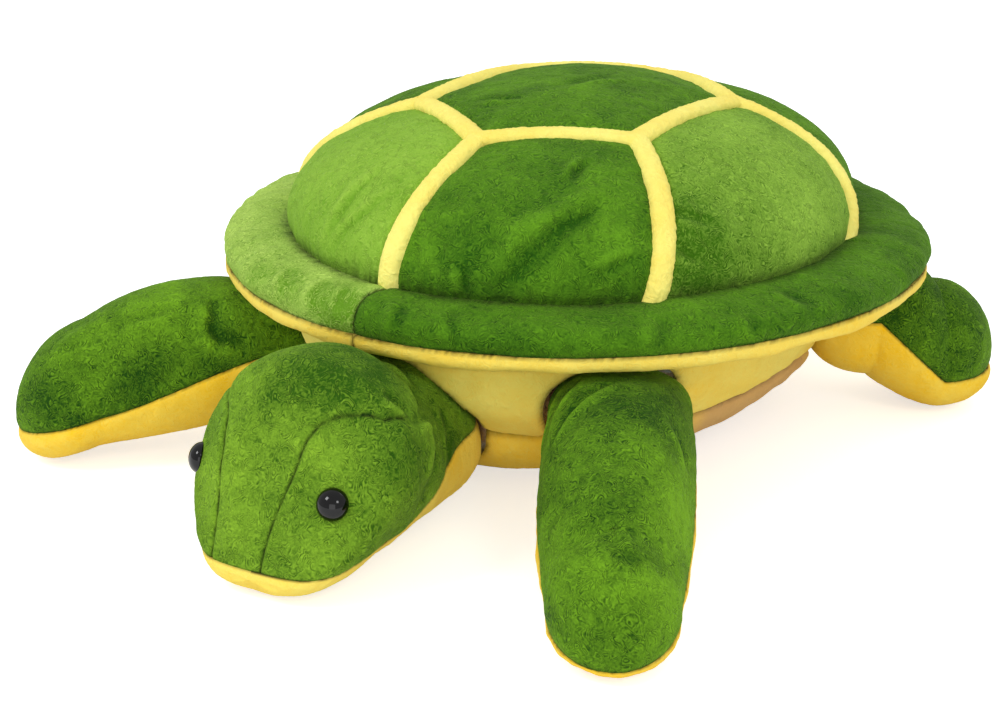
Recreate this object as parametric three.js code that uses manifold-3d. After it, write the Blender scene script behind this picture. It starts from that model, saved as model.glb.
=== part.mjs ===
// A stuffed toy turtle: sewn plush panels over fibre wadding, with a domed shell inside a padded rim,
// four flippers, a head with two snap-in eyes, and a small tail.
// Millimetres, +Z up. The head points towards -Y, the turtle's left is +X, and the flat of the belly
// lies on z = 0. Every limb and the head turn about an upright axis at the seam that holds them.

import * as THREE from 'three';
import { mergeVertices } from 'three/addons/utils/BufferGeometryUtils.js';
import Module from 'manifold-3d';

const wasm = await Module();
wasm.setup();

// Cloth and the fit between pieces
const plush = 3; // pile and backing together
const seamGap = 0.3; // between two pieces that touch
const waddingEase = 1.8; // room for the flat facets of a panel above its wadding
const pocketEaseShare = 0.033; // room round a root in its hollow, as a share of the root's half width
const overrun = 120; // how far a cutting block runs past what it cuts

// Dome of the shell
const domeHalfWidth = 156;
const domeHalfLength = 168;
const domeCentreY = -2.5;
const domeFoot = 121;
const domeRise = 71;
const panelPuff = 3.5;
const bandWidth = 10.5;
const bandProud = 4.5;
const crownCornerShares = [
  [0, -0.557], [0.449, -0.295], [0.449, 0.324], [0, 0.622], [-0.449, 0.324], [-0.449, -0.295],
];
const stripFootDegrees = [-91, -40, 16, 90, 155, 203];

// Rim, a stuffed tube round the dome
const rimHalfWidth = 200;
const rimHalfLength = 212;
const rimRearHalfLength = 187;
const rimCentreX = -4;
const rimCentreY = 12;
const rimRearDroop = 13;
const rimSeam = 101;
const rimTop = 122.5;
const rimUnderside = 88;
const rimCrease = 3.5;
const rimCreaseShare = 1 / 3;
const rimTopSquareness = 2.7;
const rimUndersideSquareness = 3.2;

// Body under the shell
const bodyHalfWidth = 125;
const bodyHalfLength = 160;
const bodyRearHalfLength = 146;
const bodyCentreY = 9;
const bodySquareness = 2.4;
const bodySeam = 42;
const bodyFlare = 14;
const bodyFrontLean = 16.5; // of the front, above the flare
const bodyLeanPower = 4; // how soon the lean fades to the sides
const bodyFlareRise = 0.4; // the power of the run up the side that the flare follows
const bellyFlatWidthShare = 0.41;
const bellyFlatLengthShare = 0.73;
const bellyFlatRunShare = 0.4; // of the run from the middle to the seam
const bellyTaper = 1.4; // the power that draws the belly in under the seam

// Head, lying with its chin just off the floor and turned a little to the left
const head = {
  pivotX: 2.7,
  pivotY: -176,
  turnDegrees: 5.5,
  faceLean: 10.5, // of the face to the right of the head's middle, because the wadding bulges to its left
  neckRadius: 45.6,
  length: 129.5,
  halfWidth: 58,
  height: 105,
  chinLift: 0.5,
  eyeAside: 44.5,
  eyeHeight: 50.6,
};
const headTopShares = [
  [0, 0.794], [0.09, 0.8], [0.19, 0.829], [0.37, 0.981], [0.573, 1], [0.719, 0.8], [0.837, 0.53],
  [0.921, 0.335], [0.983, 0.17],
];
const headUnderShares = [
  [0, 0.11], [0.1, 0.085], [0.27, 0.06], [0.472, 0.034], [0.652, 0.014], [0.787, 0], [0.888, 0.008],
  [0.95, 0.028], [0.989, 0.065],
];
const headWidthShares = [0.787, 0.823, 0.88, 0.966, 1, 0.91, 0.762, 0.588, 0.352];
const headTipShares = [1, 0.11];
const neckRunShare = 0.25; // of the run from the back of the neck to the snout
const neckSagShare = 0.6; // how much more the neck's section sags than an ellipse
const neckSagRunShare = 0.55; // of the head's length, where the sag has gone
const eyeRunShares = [0.62, 0.85]; // the part of the run that the eyes are looked for in

// Seams of the head, as shares of its size. A gusset seam, seen from above before the face leans, runs
// up the face, turns outwards over the eye and goes back to the neck. The chin seam is seen from the side.
const gussetSeamShares = [
  [0.26, 1.225], [0.262, 0.955], [0.293, 0.899], [0.33, 0.857], [0.372, 0.815], [0.397, 0.775],
  [0.42, 0.753], [0.475, 0.713], [0.57, 0.68], [0.66, 0.655], [0.79, 0.595], [0.834, 0.502],
  [0.774, 0.318], [0.662, 0.053], [0.57, -0.18], [0.43, -0.584],
];
const faceLeanRunShares = [0.573, 0.753]; // of the head's length, where the lean begins and is full
const underCheekShares = { across: 0.55, up: 0.4 }; // what is further aside and lower is all cheek
const chinSeamShares = [
  [1.225, 0.15], [0.966, 0.155], [0.82, 0.175], [0.472, 0.24], [0.337, 0.32], [0.236, 0.41], [0.101, 0.45],
];

// Eyes: a glossy dome on a ribbed shank, held inside by a lock washer
const eye = {
  radius: 8,
  height: 7.5,
  sunk: 2, // into the pile
  shankRadius: 2.2,
  shankLength: 13,
  ribDepth: 0.5,
  ribPitch: 2.4,
  ribs: 3,
  washerRadius: 8.5,
  washerThickness: 1.6,
  washerDish: 1.5,
  washerSeat: 3.8, // from the cloth to the washer's middle
};

// Flippers and tail. The spine runs straight from the pivot, and a round tip follows it. The heights of
// the seam between the upper and the lower panel, the half widths, and the heights above and below the
// seam are given at the root, a third, two thirds and the end of the spine.
const frontLeftForm = {
  spine: 133,
  tipReach: 42,
  seams: [61.4, 46.3, 31.1, 16],
  tipSeam: 8,
  halfWidths: [36.5, 38.7, 37.3, 31.2],
  above: [22, 41, 49.5, 38],
  below: [39.5, 34.5, 25, 12],
};
const frontRightForm = {
  spine: 112,
  tipReach: 42,
  seams: [61.5, 57, 45, 33],
  tipSeam: 20,
  halfWidths: [37.5, 41.7, 42.3, 36],
  above: [20.5, 32.3, 42.3, 36.5],
  below: [37, 41, 35, 28],
};
const rearForm = {
  spine: 40,
  tipReach: 36,
  seams: [60.7, 48.5, 36.2, 24],
  tipSeam: 24,
  halfWidths: [38.4, 42.5, 44, 40],
  above: [20.5, 35.2, 48, 49],
  below: [41.8, 38, 31.5, 23],
};
const tailForm = {
  spine: 40,
  tipReach: 12,
  seams: [44, 36, 28, 20],
  tipSeam: 20,
  halfWidths: [20, 21, 16, 9],
  above: [22, 20, 15, 9],
  below: [20, 19, 14, 9],
};
const limbSquareness = 2.2;
const frontRootX = 110;
const frontRootY = -126;
const rearRootX = 135;
const rearRootY = 103;
const tailRootY = 168;
const limbs = [
  { name: 'front_left_flipper', form: frontLeftForm, x: frontRootX, y: frontRootY, degrees: -59 },
  { name: 'front_right_flipper', form: frontRightForm, x: -frontRootX, y: frontRootY, degrees: -128 },
  { name: 'rear_left_flipper', form: rearForm, x: rearRootX, y: rearRootY, degrees: 40 },
  { name: 'rear_right_flipper', form: rearForm, x: -rearRootX, y: rearRootY, degrees: 140 },
  { name: 'tail', form: tailForm, x: 0, y: tailRootY, degrees: 90 },
];

// Facets
const roundCount = 32;
const limbCount = 20;
const limbRings = 3;
const headCount = 16;
const headRings = 12;

// Colours
const darkGreen = 0x347014;
const midGreen = 0x5a9a30;
const lightGreen = 0x90b94e;
const yellow = 0xf7d968;
const waddingWhite = 0xf2f0ea;
const eyeBlack = 0x0a0a0c;
const washerWhite = 0xe4e4e0;

const fullTurn = 2 * Math.PI;
const quarterTurn = Math.PI / 2;
const { cos, sin, sqrt, min, max, hypot, atan2, asin } = Math;
const radians = THREE.MathUtils.degToRad;
const lerp = THREE.MathUtils.lerp;

// Closed meshes from grids of points

// Joins equal points, drops flat triangles and turns the faces outwards.
function closedGeometry(points, triangles) {
  const loose = new THREE.BufferGeometry();
  loose.setAttribute('position', new THREE.Float32BufferAttribute(points.flatMap((p) => p.toArray()), 3));
  loose.setIndex(triangles.flat());
  const merged = mergeVertices(loose);
  const index = merged.index.array;
  const kept = [];
  let volume = 0;
  const [a, b, c] = [new THREE.Vector3(), new THREE.Vector3(), new THREE.Vector3()];
  for (let i = 0; i < index.length; i += 3) {
    const [p, q, r] = [index[i], index[i + 1], index[i + 2]];
    if (p === q || q === r || r === p) continue;
    kept.push([p, q, r]);
    a.fromBufferAttribute(merged.attributes.position, p);
    b.fromBufferAttribute(merged.attributes.position, q);
    c.fromBufferAttribute(merged.attributes.position, r);
    volume += a.dot(b.cross(c));
  }
  merged.setIndex(kept.map((t) => (volume < 0 ? [t[0], t[2], t[1]] : t)).flat());
  return merged;
}

// Two triangles for each cell of a grid whose points are found by at(i, j).
function gridTriangles(uCells, vCells, at, reversed = false) {
  const triangles = [];
  for (let i = 0; i < uCells; i++) {
    for (let j = 0; j < vCells; j++) {
      const [a, b, c, d] = [at(i, j), at(i + 1, j), at(i + 1, j + 1), at(i, j + 1)];
      triangles.push(...(reversed ? [[a, c, b], [a, d, c]] : [[a, b, c], [a, c, d]]));
    }
  }
  return triangles;
}

// The points of surface(u, v) on a grid, with u and v from 0 to 1.
function gridPoints(surface, uCells, vCells) {
  const points = [];
  for (let i = 0; i <= uCells; i++) {
    for (let j = 0; j <= vCells; j++) points.push(surface(i / uCells, j / vCells));
  }
  return points;
}

// A surface that closes on itself.
function closedForm(surface, uCells, vCells) {
  const triangles = gridTriangles(uCells, vCells, (i, j) => i * (vCells + 1) + j);
  return closedGeometry(gridPoints(surface, uCells, vCells), triangles);
}

// A piece of cloth: the outer surface, the same surface one plush thickness further in, and a wall
// along each free edge. surface(u, v, inset) gives a point. A ring has no edge across u, and a piece
// with a centre has none at v = 0.
function clothPiece(surface, uCells, vCells, { ring = false, centre = false } = {}) {
  const rows = vCells + 1;
  const layer = (uCells + 1) * rows;
  const points = [0, plush].flatMap((inset) => (
    gridPoints((u, v) => surface(u, v, inset), uCells, vCells)
  ));
  const triangles = gridTriangles(uCells, vCells, (i, j) => i * rows + j);
  triangles.push(...gridTriangles(uCells, vCells, (i, j) => layer + i * rows + j, true));
  const wall = (cells, at) => {
    triangles.push(...gridTriangles(cells, 1, (i, j) => j * layer + at(i)));
  };
  if (!ring) {
    wall(vCells, (j) => j);
    wall(vCells, (j) => uCells * rows + vCells - j);
  }
  if (!centre) wall(uCells, (i) => (uCells - i) * rows);
  wall(uCells, (i) => i * rows + vCells);
  return closedGeometry(points, triangles);
}

// Cutting and joining

function toSolid(geometry) {
  const bare = new THREE.BufferGeometry();
  bare.setAttribute('position', geometry.attributes.position.clone());
  if (geometry.index) bare.setIndex(geometry.index.clone());
  const merged = mergeVertices(bare);
  return new wasm.Manifold(new wasm.Mesh({
    numProp: 3,
    vertProperties: merged.attributes.position.array,
    triVerts: new Uint32Array(merged.index.array),
  }));
}

function toGeometry(solid) {
  const mesh = solid.getMesh();
  const geometry = new THREE.BufferGeometry();
  geometry.setAttribute('position', new THREE.BufferAttribute(mesh.vertProperties, 3));
  geometry.setIndex(new THREE.BufferAttribute(mesh.triVerts, 1));
  return geometry;
}

function cutAway(geometry, cutters) {
  return toGeometry(cutters.reduce((solid, cutter) => solid.subtract(toSolid(cutter)), toSolid(geometry)));
}

function clothMaterial(colour) {
  return new THREE.MeshStandardMaterial({ color: colour, roughness: 0.95, metalness: 0 });
}

function namedMesh(name, geometry, colour) {
  const mesh = new THREE.Mesh(geometry, clothMaterial(colour));
  mesh.name = name;
  return mesh;
}

// Shell

// A point of the dome by its tilt from the crown, its bearing and its height over the cloth.
function domePoint(tilt, bearing, lift) {
  return new THREE.Vector3(
    (domeHalfWidth + lift) * sin(tilt) * cos(bearing),
    domeCentreY + (domeHalfLength + lift) * sin(tilt) * sin(bearing),
    domeFoot + (domeRise + lift) * cos(tilt),
  );
}

// The tilt and bearing of the dome point above a place in plan.
function domeAngles(x, y) {
  const across = x / domeHalfWidth;
  const along = (y - domeCentreY) / domeHalfLength;
  return { tilt: asin(min(1, hypot(across, along))), bearing: atan2(along, across) };
}

const crownCorners = crownCornerShares.map(([across, along]) => (
  new THREE.Vector2(across * domeHalfWidth, domeCentreY + along * domeHalfLength)
));

// The crown's outline with every side moved outwards by a distance, and its corners mitred.
function crownOutline(outwards) {
  const count = crownCorners.length;
  return crownCorners.map((corner, i) => {
    const before = corner.clone().sub(crownCorners[(i + count - 1) % count]).normalize();
    const after = crownCorners[(i + 1) % count].clone().sub(corner).normalize();
    const normals = [before, after].map((side) => new THREE.Vector2(side.y, -side.x));
    const middle = normals[0].clone().add(normals[1]).normalize();
    return corner.clone().addScaledVector(middle, outwards / middle.dot(normals[0]));
  });
}

// A point on an outline, with u running once round it.
function alongOutline(outline, u) {
  const place = u * outline.length;
  const side = Math.floor(place) % outline.length;
  return outline[side].clone().lerp(outline[(side + 1) % outline.length], place - Math.floor(place));
}

function puffed(u, v, inset) {
  return panelPuff * (sin(Math.PI * u) * sin(Math.PI * v)) ** 0.6 * (1 - inset / plush) - inset;
}

function shellTopPanel() {
  const outline = crownOutline(-(bandWidth / 2 + seamGap));
  const centre = outline.reduce((sum, p) => sum.add(p), new THREE.Vector2())
    .divideScalar(outline.length);
  const surface = (u, v, inset) => {
    const place = centre.clone().lerp(alongOutline(outline, u), v);
    const { tilt, bearing } = domeAngles(place.x, place.y);
    const puff = panelPuff * (1 - v * v) * (1 - inset / plush);
    return domePoint(tilt, bearing, puff - inset);
  };
  return clothPiece(surface, 3 * outline.length, 3, { ring: true, centre: true });
}

function shellCrownBand() {
  const inner = crownOutline(-bandWidth / 2);
  const outer = crownOutline(bandWidth / 2);
  const surface = (u, v, inset) => {
    const place = alongOutline(inner, u).lerp(alongOutline(outer, u), v);
    const { tilt, bearing } = domeAngles(place.x, place.y);
    return domePoint(tilt, bearing, inset ? -inset : bandProud * sqrt(1 - (2 * v - 1) ** 2));
  };
  return clothPiece(surface, 3 * inner.length, 4, { ring: true });
}

// Where strip i runs: from its corner of the band (t = 0) down to the rim (t = 1).
const stripCorners = crownOutline(bandWidth / 2 + seamGap);
function stripAngles(i, t) {
  const corner = domeAngles(stripCorners[i].x, stripCorners[i].y);
  const turns = Math.round((radians(stripFootDegrees[i]) - corner.bearing) / fullTurn);
  return {
    tilt: lerp(corner.tilt, quarterTurn, t),
    bearing: lerp(corner.bearing + turns * fullTurn, radians(stripFootDegrees[i]), t),
  };
}

function stripPoint(i, t, lift = 0) {
  const { tilt, bearing } = stripAngles(i, t);
  return domePoint(tilt, bearing, lift);
}

// The strip's own directions at t: along it, out of the cloth and across it.
function stripFrame(i, t) {
  const step = 0.01;
  const start = min(t, 1 - step);
  const point = stripPoint(i, t);
  const along = stripPoint(i, start + step).sub(stripPoint(i, start)).normalize();
  const out = stripPoint(i, t, plush).sub(point);
  out.addScaledVector(along, -out.dot(along)).normalize();
  return { point, along, out, across: out.clone().cross(along).normalize() };
}

// The strip stops where the lower corner of its square end would meet the rim.
function shellStrip(i) {
  const foot = stripFrame(i, 1);
  const step = 0.1;
  const length = foot.point.distanceTo(stripPoint(i, 1 - step)) / step;
  const end = 1 - (Math.abs(foot.across.z) * bandWidth / 2 + waddingEase) / length;
  const surface = (u, v, inset) => {
    const { point, out, across } = stripFrame(i, u * end);
    const aside = 2 * v - 1;
    const lift = inset ? -inset : bandProud * sqrt(1 - aside * aside);
    return point.addScaledVector(across, aside * bandWidth / 2).addScaledVector(out, lift);
  };
  return clothPiece(surface, 6, 4);
}

// A point between strips i and i + 1, with s from one strip to the next and t from band to rim.
function betweenStrips(i, s, t, lift = 0) {
  const next = (i + 1) % stripCorners.length;
  const side = stripCorners[i].clone().lerp(stripCorners[next], s);
  const inner = domeAngles(side.x, side.y);
  const left = stripAngles(i, t);
  const right = stripAngles(next, t);
  const wrapped = right.bearing < left.bearing ? right.bearing + fullTurn : right.bearing;
  return domePoint(lerp(inner.tilt, quarterTurn, t), lerp(left.bearing, wrapped, s), lift);
}

// The share of a panel's width at t that the strip on its edge s = 0 or s = 1 takes up.
function stripShare(i, edge, t) {
  const strip = stripFrame((i + edge) % stripCorners.length, t);
  const width = betweenStrips(i, 1, t).distanceTo(betweenStrips(i, 0, t));
  const step = 0.05;
  const aside = betweenStrips(i, Math.abs(edge - step), t).sub(betweenStrips(i, edge, t)).normalize();
  return (bandWidth / 2 + seamGap) / (width * Math.abs(aside.dot(strip.across)));
}

function shellPanel(i) {
  const cells = 5;
  const surface = (u, v, inset) => {
    const s = lerp(stripShare(i, 0, v), 1 - stripShare(i, 1, v), u);
    return betweenStrips(i, s, v, puffed(u, v, inset));
  };
  return clothPiece(surface, cells, cells);
}

// The dome's wadding, with a ledge under the panels' lower edge.
function shellFilling() {
  const under = plush + seamGap + waddingEase;
  const rings = 6;
  const surface = (u, v) => {
    const bearing = u * fullTurn;
    const step = Math.round(v * (rings + 3));
    if (step <= rings) return domePoint(step / rings * quarterTurn, bearing, -under);
    const share = step === rings + 3 ? 0 : 1;
    const point = domePoint(quarterTurn * share, bearing, -seamGap);
    point.z = step === rings + 1 ? domeFoot - seamGap : rimUnderside + seamGap;
    return point;
  };
  return closedForm(surface, roundCount, rings + 3);
}

// Rim

// A point of the rim's section: v = 0 at the dome's foot and v = 1 at the outer seam.
function rimPoint(bearing, v, inset, height, squareness) {
  const start = domePoint(quarterTurn, bearing, seamGap);
  const halfLength = sin(bearing) > 0 ? rimRearHalfLength : rimHalfLength;
  const seam = new THREE.Vector3(
    rimCentreX + rimHalfWidth * cos(bearing), rimCentreY + halfLength * sin(bearing), rimSeam,
  );
  const droop = rimRearDroop * (max(0, sin(bearing)) * v) ** 2;
  const width = hypot(seam.x - start.x, seam.y - start.y);
  const angle = v * quarterTurn;
  const outwards = (width - inset) * sin(angle) ** (2 / squareness);
  const upwards = (Math.abs(height) - inset) * cos(angle) ** (2 / squareness) * Math.sign(height);
  const share = max(outwards, 0) / width;
  return new THREE.Vector3(
    lerp(start.x, seam.x, share), lerp(start.y, seam.y, share), rimSeam + upwards - droop,
  );
}

function rimTopPoint(bearing, v, inset) {
  const point = rimPoint(bearing, v, inset, rimTop - rimSeam, rimTopSquareness);
  point.z -= rimCrease * max(0, 1 - v / rimCreaseShare) ** 2;
  return point;
}

function rimUndersidePoint(bearing, v, inset) {
  return rimPoint(bearing, v, inset, rimUnderside - rimSeam, rimUndersideSquareness);
}

// One half of the rim's cover, from the front seam to the rear seam.
function rimCover(point, side, upwards) {
  const cells = roundCount / 2;
  const surface = (u, v, inset) => {
    const trim = seamGap / 2 / rimHalfWidth;
    const result = point(lerp(trim, Math.PI - trim, u) - side * quarterTurn, v, inset);
    result.z += upwards * seamGap / 2;
    return result;
  };
  return clothPiece(surface, cells, 4);
}

function rimFilling() {
  const under = plush + 2 * seamGap;
  const surface = (u, v) => {
    const bearing = u * fullTurn;
    const step = Math.round(v * 9);
    if (step === 9) return rimTopPoint(bearing, 0, under);
    if (step <= 4) return rimTopPoint(bearing, step / 4, under);
    return rimUndersidePoint(bearing, (8 - step) / 4, under);
  };
  return closedForm(surface, roundCount, 9);
}

// Body

// The body's outline in plan: a superellipse, shorter behind, with a share of one for each half size.
function bodyOutline(bearing) {
  const eased = (value) => Math.sign(value) * Math.abs(value) ** (2 / bodySquareness);
  return { across: eased(cos(bearing)), along: eased(sin(bearing)) };
}

function bodyLength(bearing) {
  return sin(bearing) > 0 ? bodyRearHalfLength : bodyHalfLength;
}

// The side, which leaves the seam steeply outwards and leans further out in front.
function gussetPoint(bearing, v, inset, top) {
  const rise = v ** bodyFlareRise;
  const outwards = bodyFlare * rise - inset;
  const lean = bodyFrontLean * rise * max(0, -sin(bearing)) ** bodyLeanPower;
  const { across, along } = bodyOutline(bearing);
  return new THREE.Vector3(
    (bodyHalfWidth + outwards) * across,
    bodyCentreY + (bodyLength(bearing) + outwards) * along - lean,
    lerp(bodySeam, top, v),
  );
}

// The bottom: flat in the middle, then rising in a curve to the seam.
function bellyPoint(bearing, v, inset) {
  const angle = max(0, (v - bellyFlatRunShare) / (1 - bellyFlatRunShare)) * quarterTurn;
  const flat = min(1, v / bellyFlatRunShare);
  const reach = (half, flatShare) => (
    half * flatShare * flat + (half * (1 - flatShare) - inset) * sin(angle) ** bellyTaper
  );
  const { across, along } = bodyOutline(bearing);
  return new THREE.Vector3(
    across * reach(bodyHalfWidth, bellyFlatWidthShare),
    bodyCentreY + along * reach(bodyLength(bearing), bellyFlatLengthShare),
    bodySeam - (bodySeam - inset) * cos(angle),
  );
}

const bodyTop = rimUnderside - seamGap;

function bodyGusset() {
  const surface = (u, v, inset) => {
    const point = gussetPoint(u * fullTurn, v, inset, bodyTop);
    point.z += (1 - v) * seamGap / 2;
    return point;
  };
  return clothPiece(surface, roundCount, 4, { ring: true });
}

function bellyPanel() {
  const surface = (u, v, inset) => {
    const point = bellyPoint(u * fullTurn, v, inset);
    if (v === 1) point.z -= seamGap / 2;
    return point;
  };
  return clothPiece(surface, roundCount, 5, { ring: true, centre: true });
}

function bodyFilling() {
  const under = plush + seamGap;
  const surface = (u, v) => {
    const step = Math.round(v * 10);
    if (step <= 5) return bellyPoint(u * fullTurn, step / 5, under);
    if (step <= 9) return gussetPoint(u * fullTurn, (step - 5) / 4, under, bodyTop);
    return new THREE.Vector3(0, bodyCentreY, bodyTop);
  };
  return closedForm(surface, roundCount, 10);
}

// Flippers and tail

// A smooth run through values given at 0, 1/3, 2/3 and 1.
function smoothRun(values, share) {
  const stations = values.map((_, i) => i / (values.length - 1));
  return values.reduce((sum, value, i) => (
    sum + stations.reduce((part, s, k) => (k === i ? part : part * (share - s) / (stations[i] - s)), value)
  ), 0);
}

// The limb's outline in plan: a half circle round the pivot, two long sides and a round tip.
function limbOutline(form, u, inset) {
  const turn = 4 * u;
  const part = Math.floor(turn) % 4;
  const share = turn - Math.floor(turn);
  const halfWidth = (s) => smoothRun(form.halfWidths, s) - inset;
  if (part === 0) {
    const angle = quarterTurn + share * Math.PI;
    return { along: halfWidth(0) * cos(angle), aside: halfWidth(0) * sin(angle), spine: 0 };
  }
  if (part === 1) return { along: share * form.spine, aside: -halfWidth(share), spine: share };
  if (part === 2) {
    const angle = share * Math.PI - quarterTurn;
    const reach = form.tipReach - inset;
    return { along: form.spine + reach * cos(angle), aside: halfWidth(1) * sin(angle), spine: 1 };
  }
  return { along: (1 - share) * form.spine, aside: halfWidth(1 - share), spine: 1 - share };
}

// The height of the seam: level round the root, then its run along the spine, then even to the tip.
function limbSeam(form, along) {
  const beyond = along - form.spine;
  if (beyond > 0) return lerp(form.seams[form.seams.length - 1], form.tipSeam, beyond / form.tipReach);
  return smoothRun(form.seams, max(0, along) / form.spine);
}

// A point of the limb: v = 0 on the spine and v = 1 on the seam, above it or below it.
function limbPoint(form, u, v, inset, side) {
  const { along, aside, spine } = limbOutline(form, u, inset);
  const thickness = smoothRun(side > 0 ? form.above : form.below, spine) - inset;
  const rounding = (1 - v ** limbSquareness) ** (1 / limbSquareness);
  const place = lerp(spine * form.spine, along, v);
  return new THREE.Vector3(place, aside * v, limbSeam(form, place) + side * thickness * rounding);
}

// Rings lie closer together near the seam, where the surface turns over.
const easedRing = (v) => sin(v * quarterTurn);

function limbCover(form, side) {
  const surface = (u, v, inset) => {
    const point = limbPoint(form, u, easedRing(v), inset, side);
    point.z += side * seamGap / 2;
    return point;
  };
  return clothPiece(surface, limbCount, limbRings, { ring: true, centre: true });
}

function limbFilling(form) {
  const rows = limbRings + 1;
  const layer = (limbCount + 1) * rows;
  const points = [1, -1].flatMap((side) => gridPoints(
    (u, v) => limbPoint(form, u, easedRing(v), plush + seamGap, side), limbCount, limbRings,
  ));
  return closedGeometry(points, [
    ...gridTriangles(limbCount, limbRings, (i, j) => i * rows + j),
    ...gridTriangles(limbCount, limbRings, (i, j) => layer + i * rows + j, true),
  ]);
}

// The hollow in the body that a limb's root turns in.
function limbPocket(limb) {
  const { form } = limb;
  const ease = form.halfWidths[0] * pocketEaseShare;
  const surface = (u, v) => {
    const side = v <= 0.5 ? 1 : -1;
    const ring = side > 0 ? easedRing(2 * v) : easedRing(2 - 2 * v);
    const radius = (form.halfWidths[0] + ease) * ring;
    const thickness = (side > 0 ? form.above : form.below)[0] + ease;
    const rounding = (1 - ring ** limbSquareness) ** (1 / limbSquareness);
    return new THREE.Vector3(
      limb.x + radius * cos(u * fullTurn),
      limb.y + radius * sin(u * fullTurn),
      form.seams[0] + side * thickness * rounding,
    );
  };
  return closedForm(surface, limbCount, 2 * limbRings);
}

function limbGroup(limb) {
  const group = new THREE.Group();
  group.position.set(limb.x, limb.y, 0);
  group.rotation.z = radians(limb.degrees);
  group.add(
    namedMesh(`${limb.name}_top`, limbCover(limb.form, 1), midGreen),
    namedMesh(`${limb.name}_underside`, limbCover(limb.form, -1), yellow),
    namedMesh(`${limb.name}_filling`, limbFilling(limb.form), waddingWhite),
  );
  return group;
}

// Head, built along -Y from its pivot at the origin and turned afterwards

function curveThrough(pairs) {
  return new THREE.CatmullRomCurve3(pairs.map(([along, up]) => new THREE.Vector3(0, along, up)));
}

const headTopCurve = curveThrough([...headTopShares, headTipShares]);
const headUnderCurve = curveThrough([...headUnderShares, headTipShares]);
const headWidthCurve = curveThrough([...headWidthShares, 0].map((share, i) => [i, share]));
const neckTopShare = headTopShares[0][1];
const neckUnderShare = headUnderShares[0][1];

// How far up a section a point lies, for the sine of its angle: a power above one lowers the widest place.
function sagging(sine, sag) {
  return ((1 + sine) / 2) ** (1 + sag);
}

// The head's half width at t, forward of the neck.
function headHalfWidth(t) {
  return headWidthCurve.getPoint((t - neckRunShare) / (1 - neckRunShare)).z * head.halfWidth;
}

// A point of the head: t = 0 at the back of the neck and t = 1 at the snout. The neck is half an egg
// round the pivot, and each further section is an egg, then an ellipse, between two profile curves.
function headPoint(t, angle, inset) {
  const point = new THREE.Vector3();
  if (t < neckRunShare) {
    const tilt = t / neckRunShare * quarterTurn;
    point.set(
      head.neckRadius * sin(tilt) * cos(angle),
      head.neckRadius * cos(tilt),
      head.height * lerp(neckUnderShare, neckTopShare, sagging(sin(tilt) * sin(angle), neckSagShare)),
    );
  } else {
    const share = (t - neckRunShare) / (1 - neckRunShare);
    const sag = neckSagShare * max(0, 1 - share / neckSagRunShare) ** 2;
    const place = headUnderCurve.getPoint(share).lerp(headTopCurve.getPoint(share), sagging(sin(angle), sag));
    point.set(headHalfWidth(t) * cos(angle), -place.y * head.length, place.z * head.height);
  }
  const middle = new THREE.Vector3(0, (head.neckRadius - head.length) / 2, head.height / 2);
  point.sub(middle);
  point.x *= 1 - inset / head.halfWidth;
  point.y *= 1 - 2 * inset / (head.neckRadius + head.length);
  point.z *= 1 - 2 * inset / head.height;
  point.add(middle);
  point.z += head.chinLift;
  return point;
}

function headForm(inset) {
  return closedForm((u, v) => headPoint(v, u * fullTurn, inset), headCount, headRings);
}

// A line in plan with each point moved to its right, square to the way between its neighbours.
function movedAside(line, distance) {
  return line.map((point, i) => {
    const way = line[min(i + 1, line.length - 1)].clone().sub(line[max(i - 1, 0)]).normalize();
    return new THREE.Vector2(point.x + distance * way.y, point.y - distance * way.x);
  });
}

// How far the face has leant to the right at a share of the head's length.
function faceLean(along) {
  return head.faceLean * THREE.MathUtils.smoothstep(along, ...faceLeanRunShares);
}

// Everything to one side of a gusset seam, +1 for the left and -1 for the right, and everything under
// the widest part of that cheek, where the head narrows again inside the seam.
function besideGusset(side, aside) {
  const seam = gussetSeamShares.map(([across, along]) => (
    new THREE.Vector2(across * head.halfWidth - side * faceLean(along), -along * head.length)
  ));
  const edge = movedAside(seam, aside);
  const far = head.halfWidth + overrun;
  const corners = [new THREE.Vector2(far, edge[edge.length - 1].y), new THREE.Vector2(far, edge[0].y)];
  const outline = new THREE.Shape([...edge, ...corners].map(({ x, y }) => new THREE.Vector2(side * x, y)));
  const beside = new THREE.ExtrudeGeometry(outline, { depth: head.height + overrun, bevelEnabled: false });
  const under = new THREE.BoxGeometry(far, 2 * (head.length + overrun), underCheekShares.up * head.height);
  under.translate(
    side * (underCheekShares.across * head.halfWidth + far / 2), 0, underCheekShares.up * head.height / 2,
  );
  return toSolid(beside).add(toSolid(under));
}

// Everything above the chin seam, whose line in side view rises from the snout to the neck.
function aboveChin(raised) {
  const reach = head.length + overrun;
  const seam = chinSeamShares.map(([along, up]) => (
    new THREE.Vector2(along * head.length, up * head.height + raised)
  ));
  const outline = new THREE.Shape([
    ...seam, new THREE.Vector2(-head.neckRadius - overrun, seam[seam.length - 1].y),
    new THREE.Vector2(-head.neckRadius - overrun, reach), new THREE.Vector2(seam[0].x, reach),
  ]);
  const block = new THREE.ExtrudeGeometry(outline, { depth: 2 * reach, bevelEnabled: false });
  block.rotateX(quarterTurn);
  block.rotateZ(-quarterTurn);
  return block.translate(reach, 0, 0);
}

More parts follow.
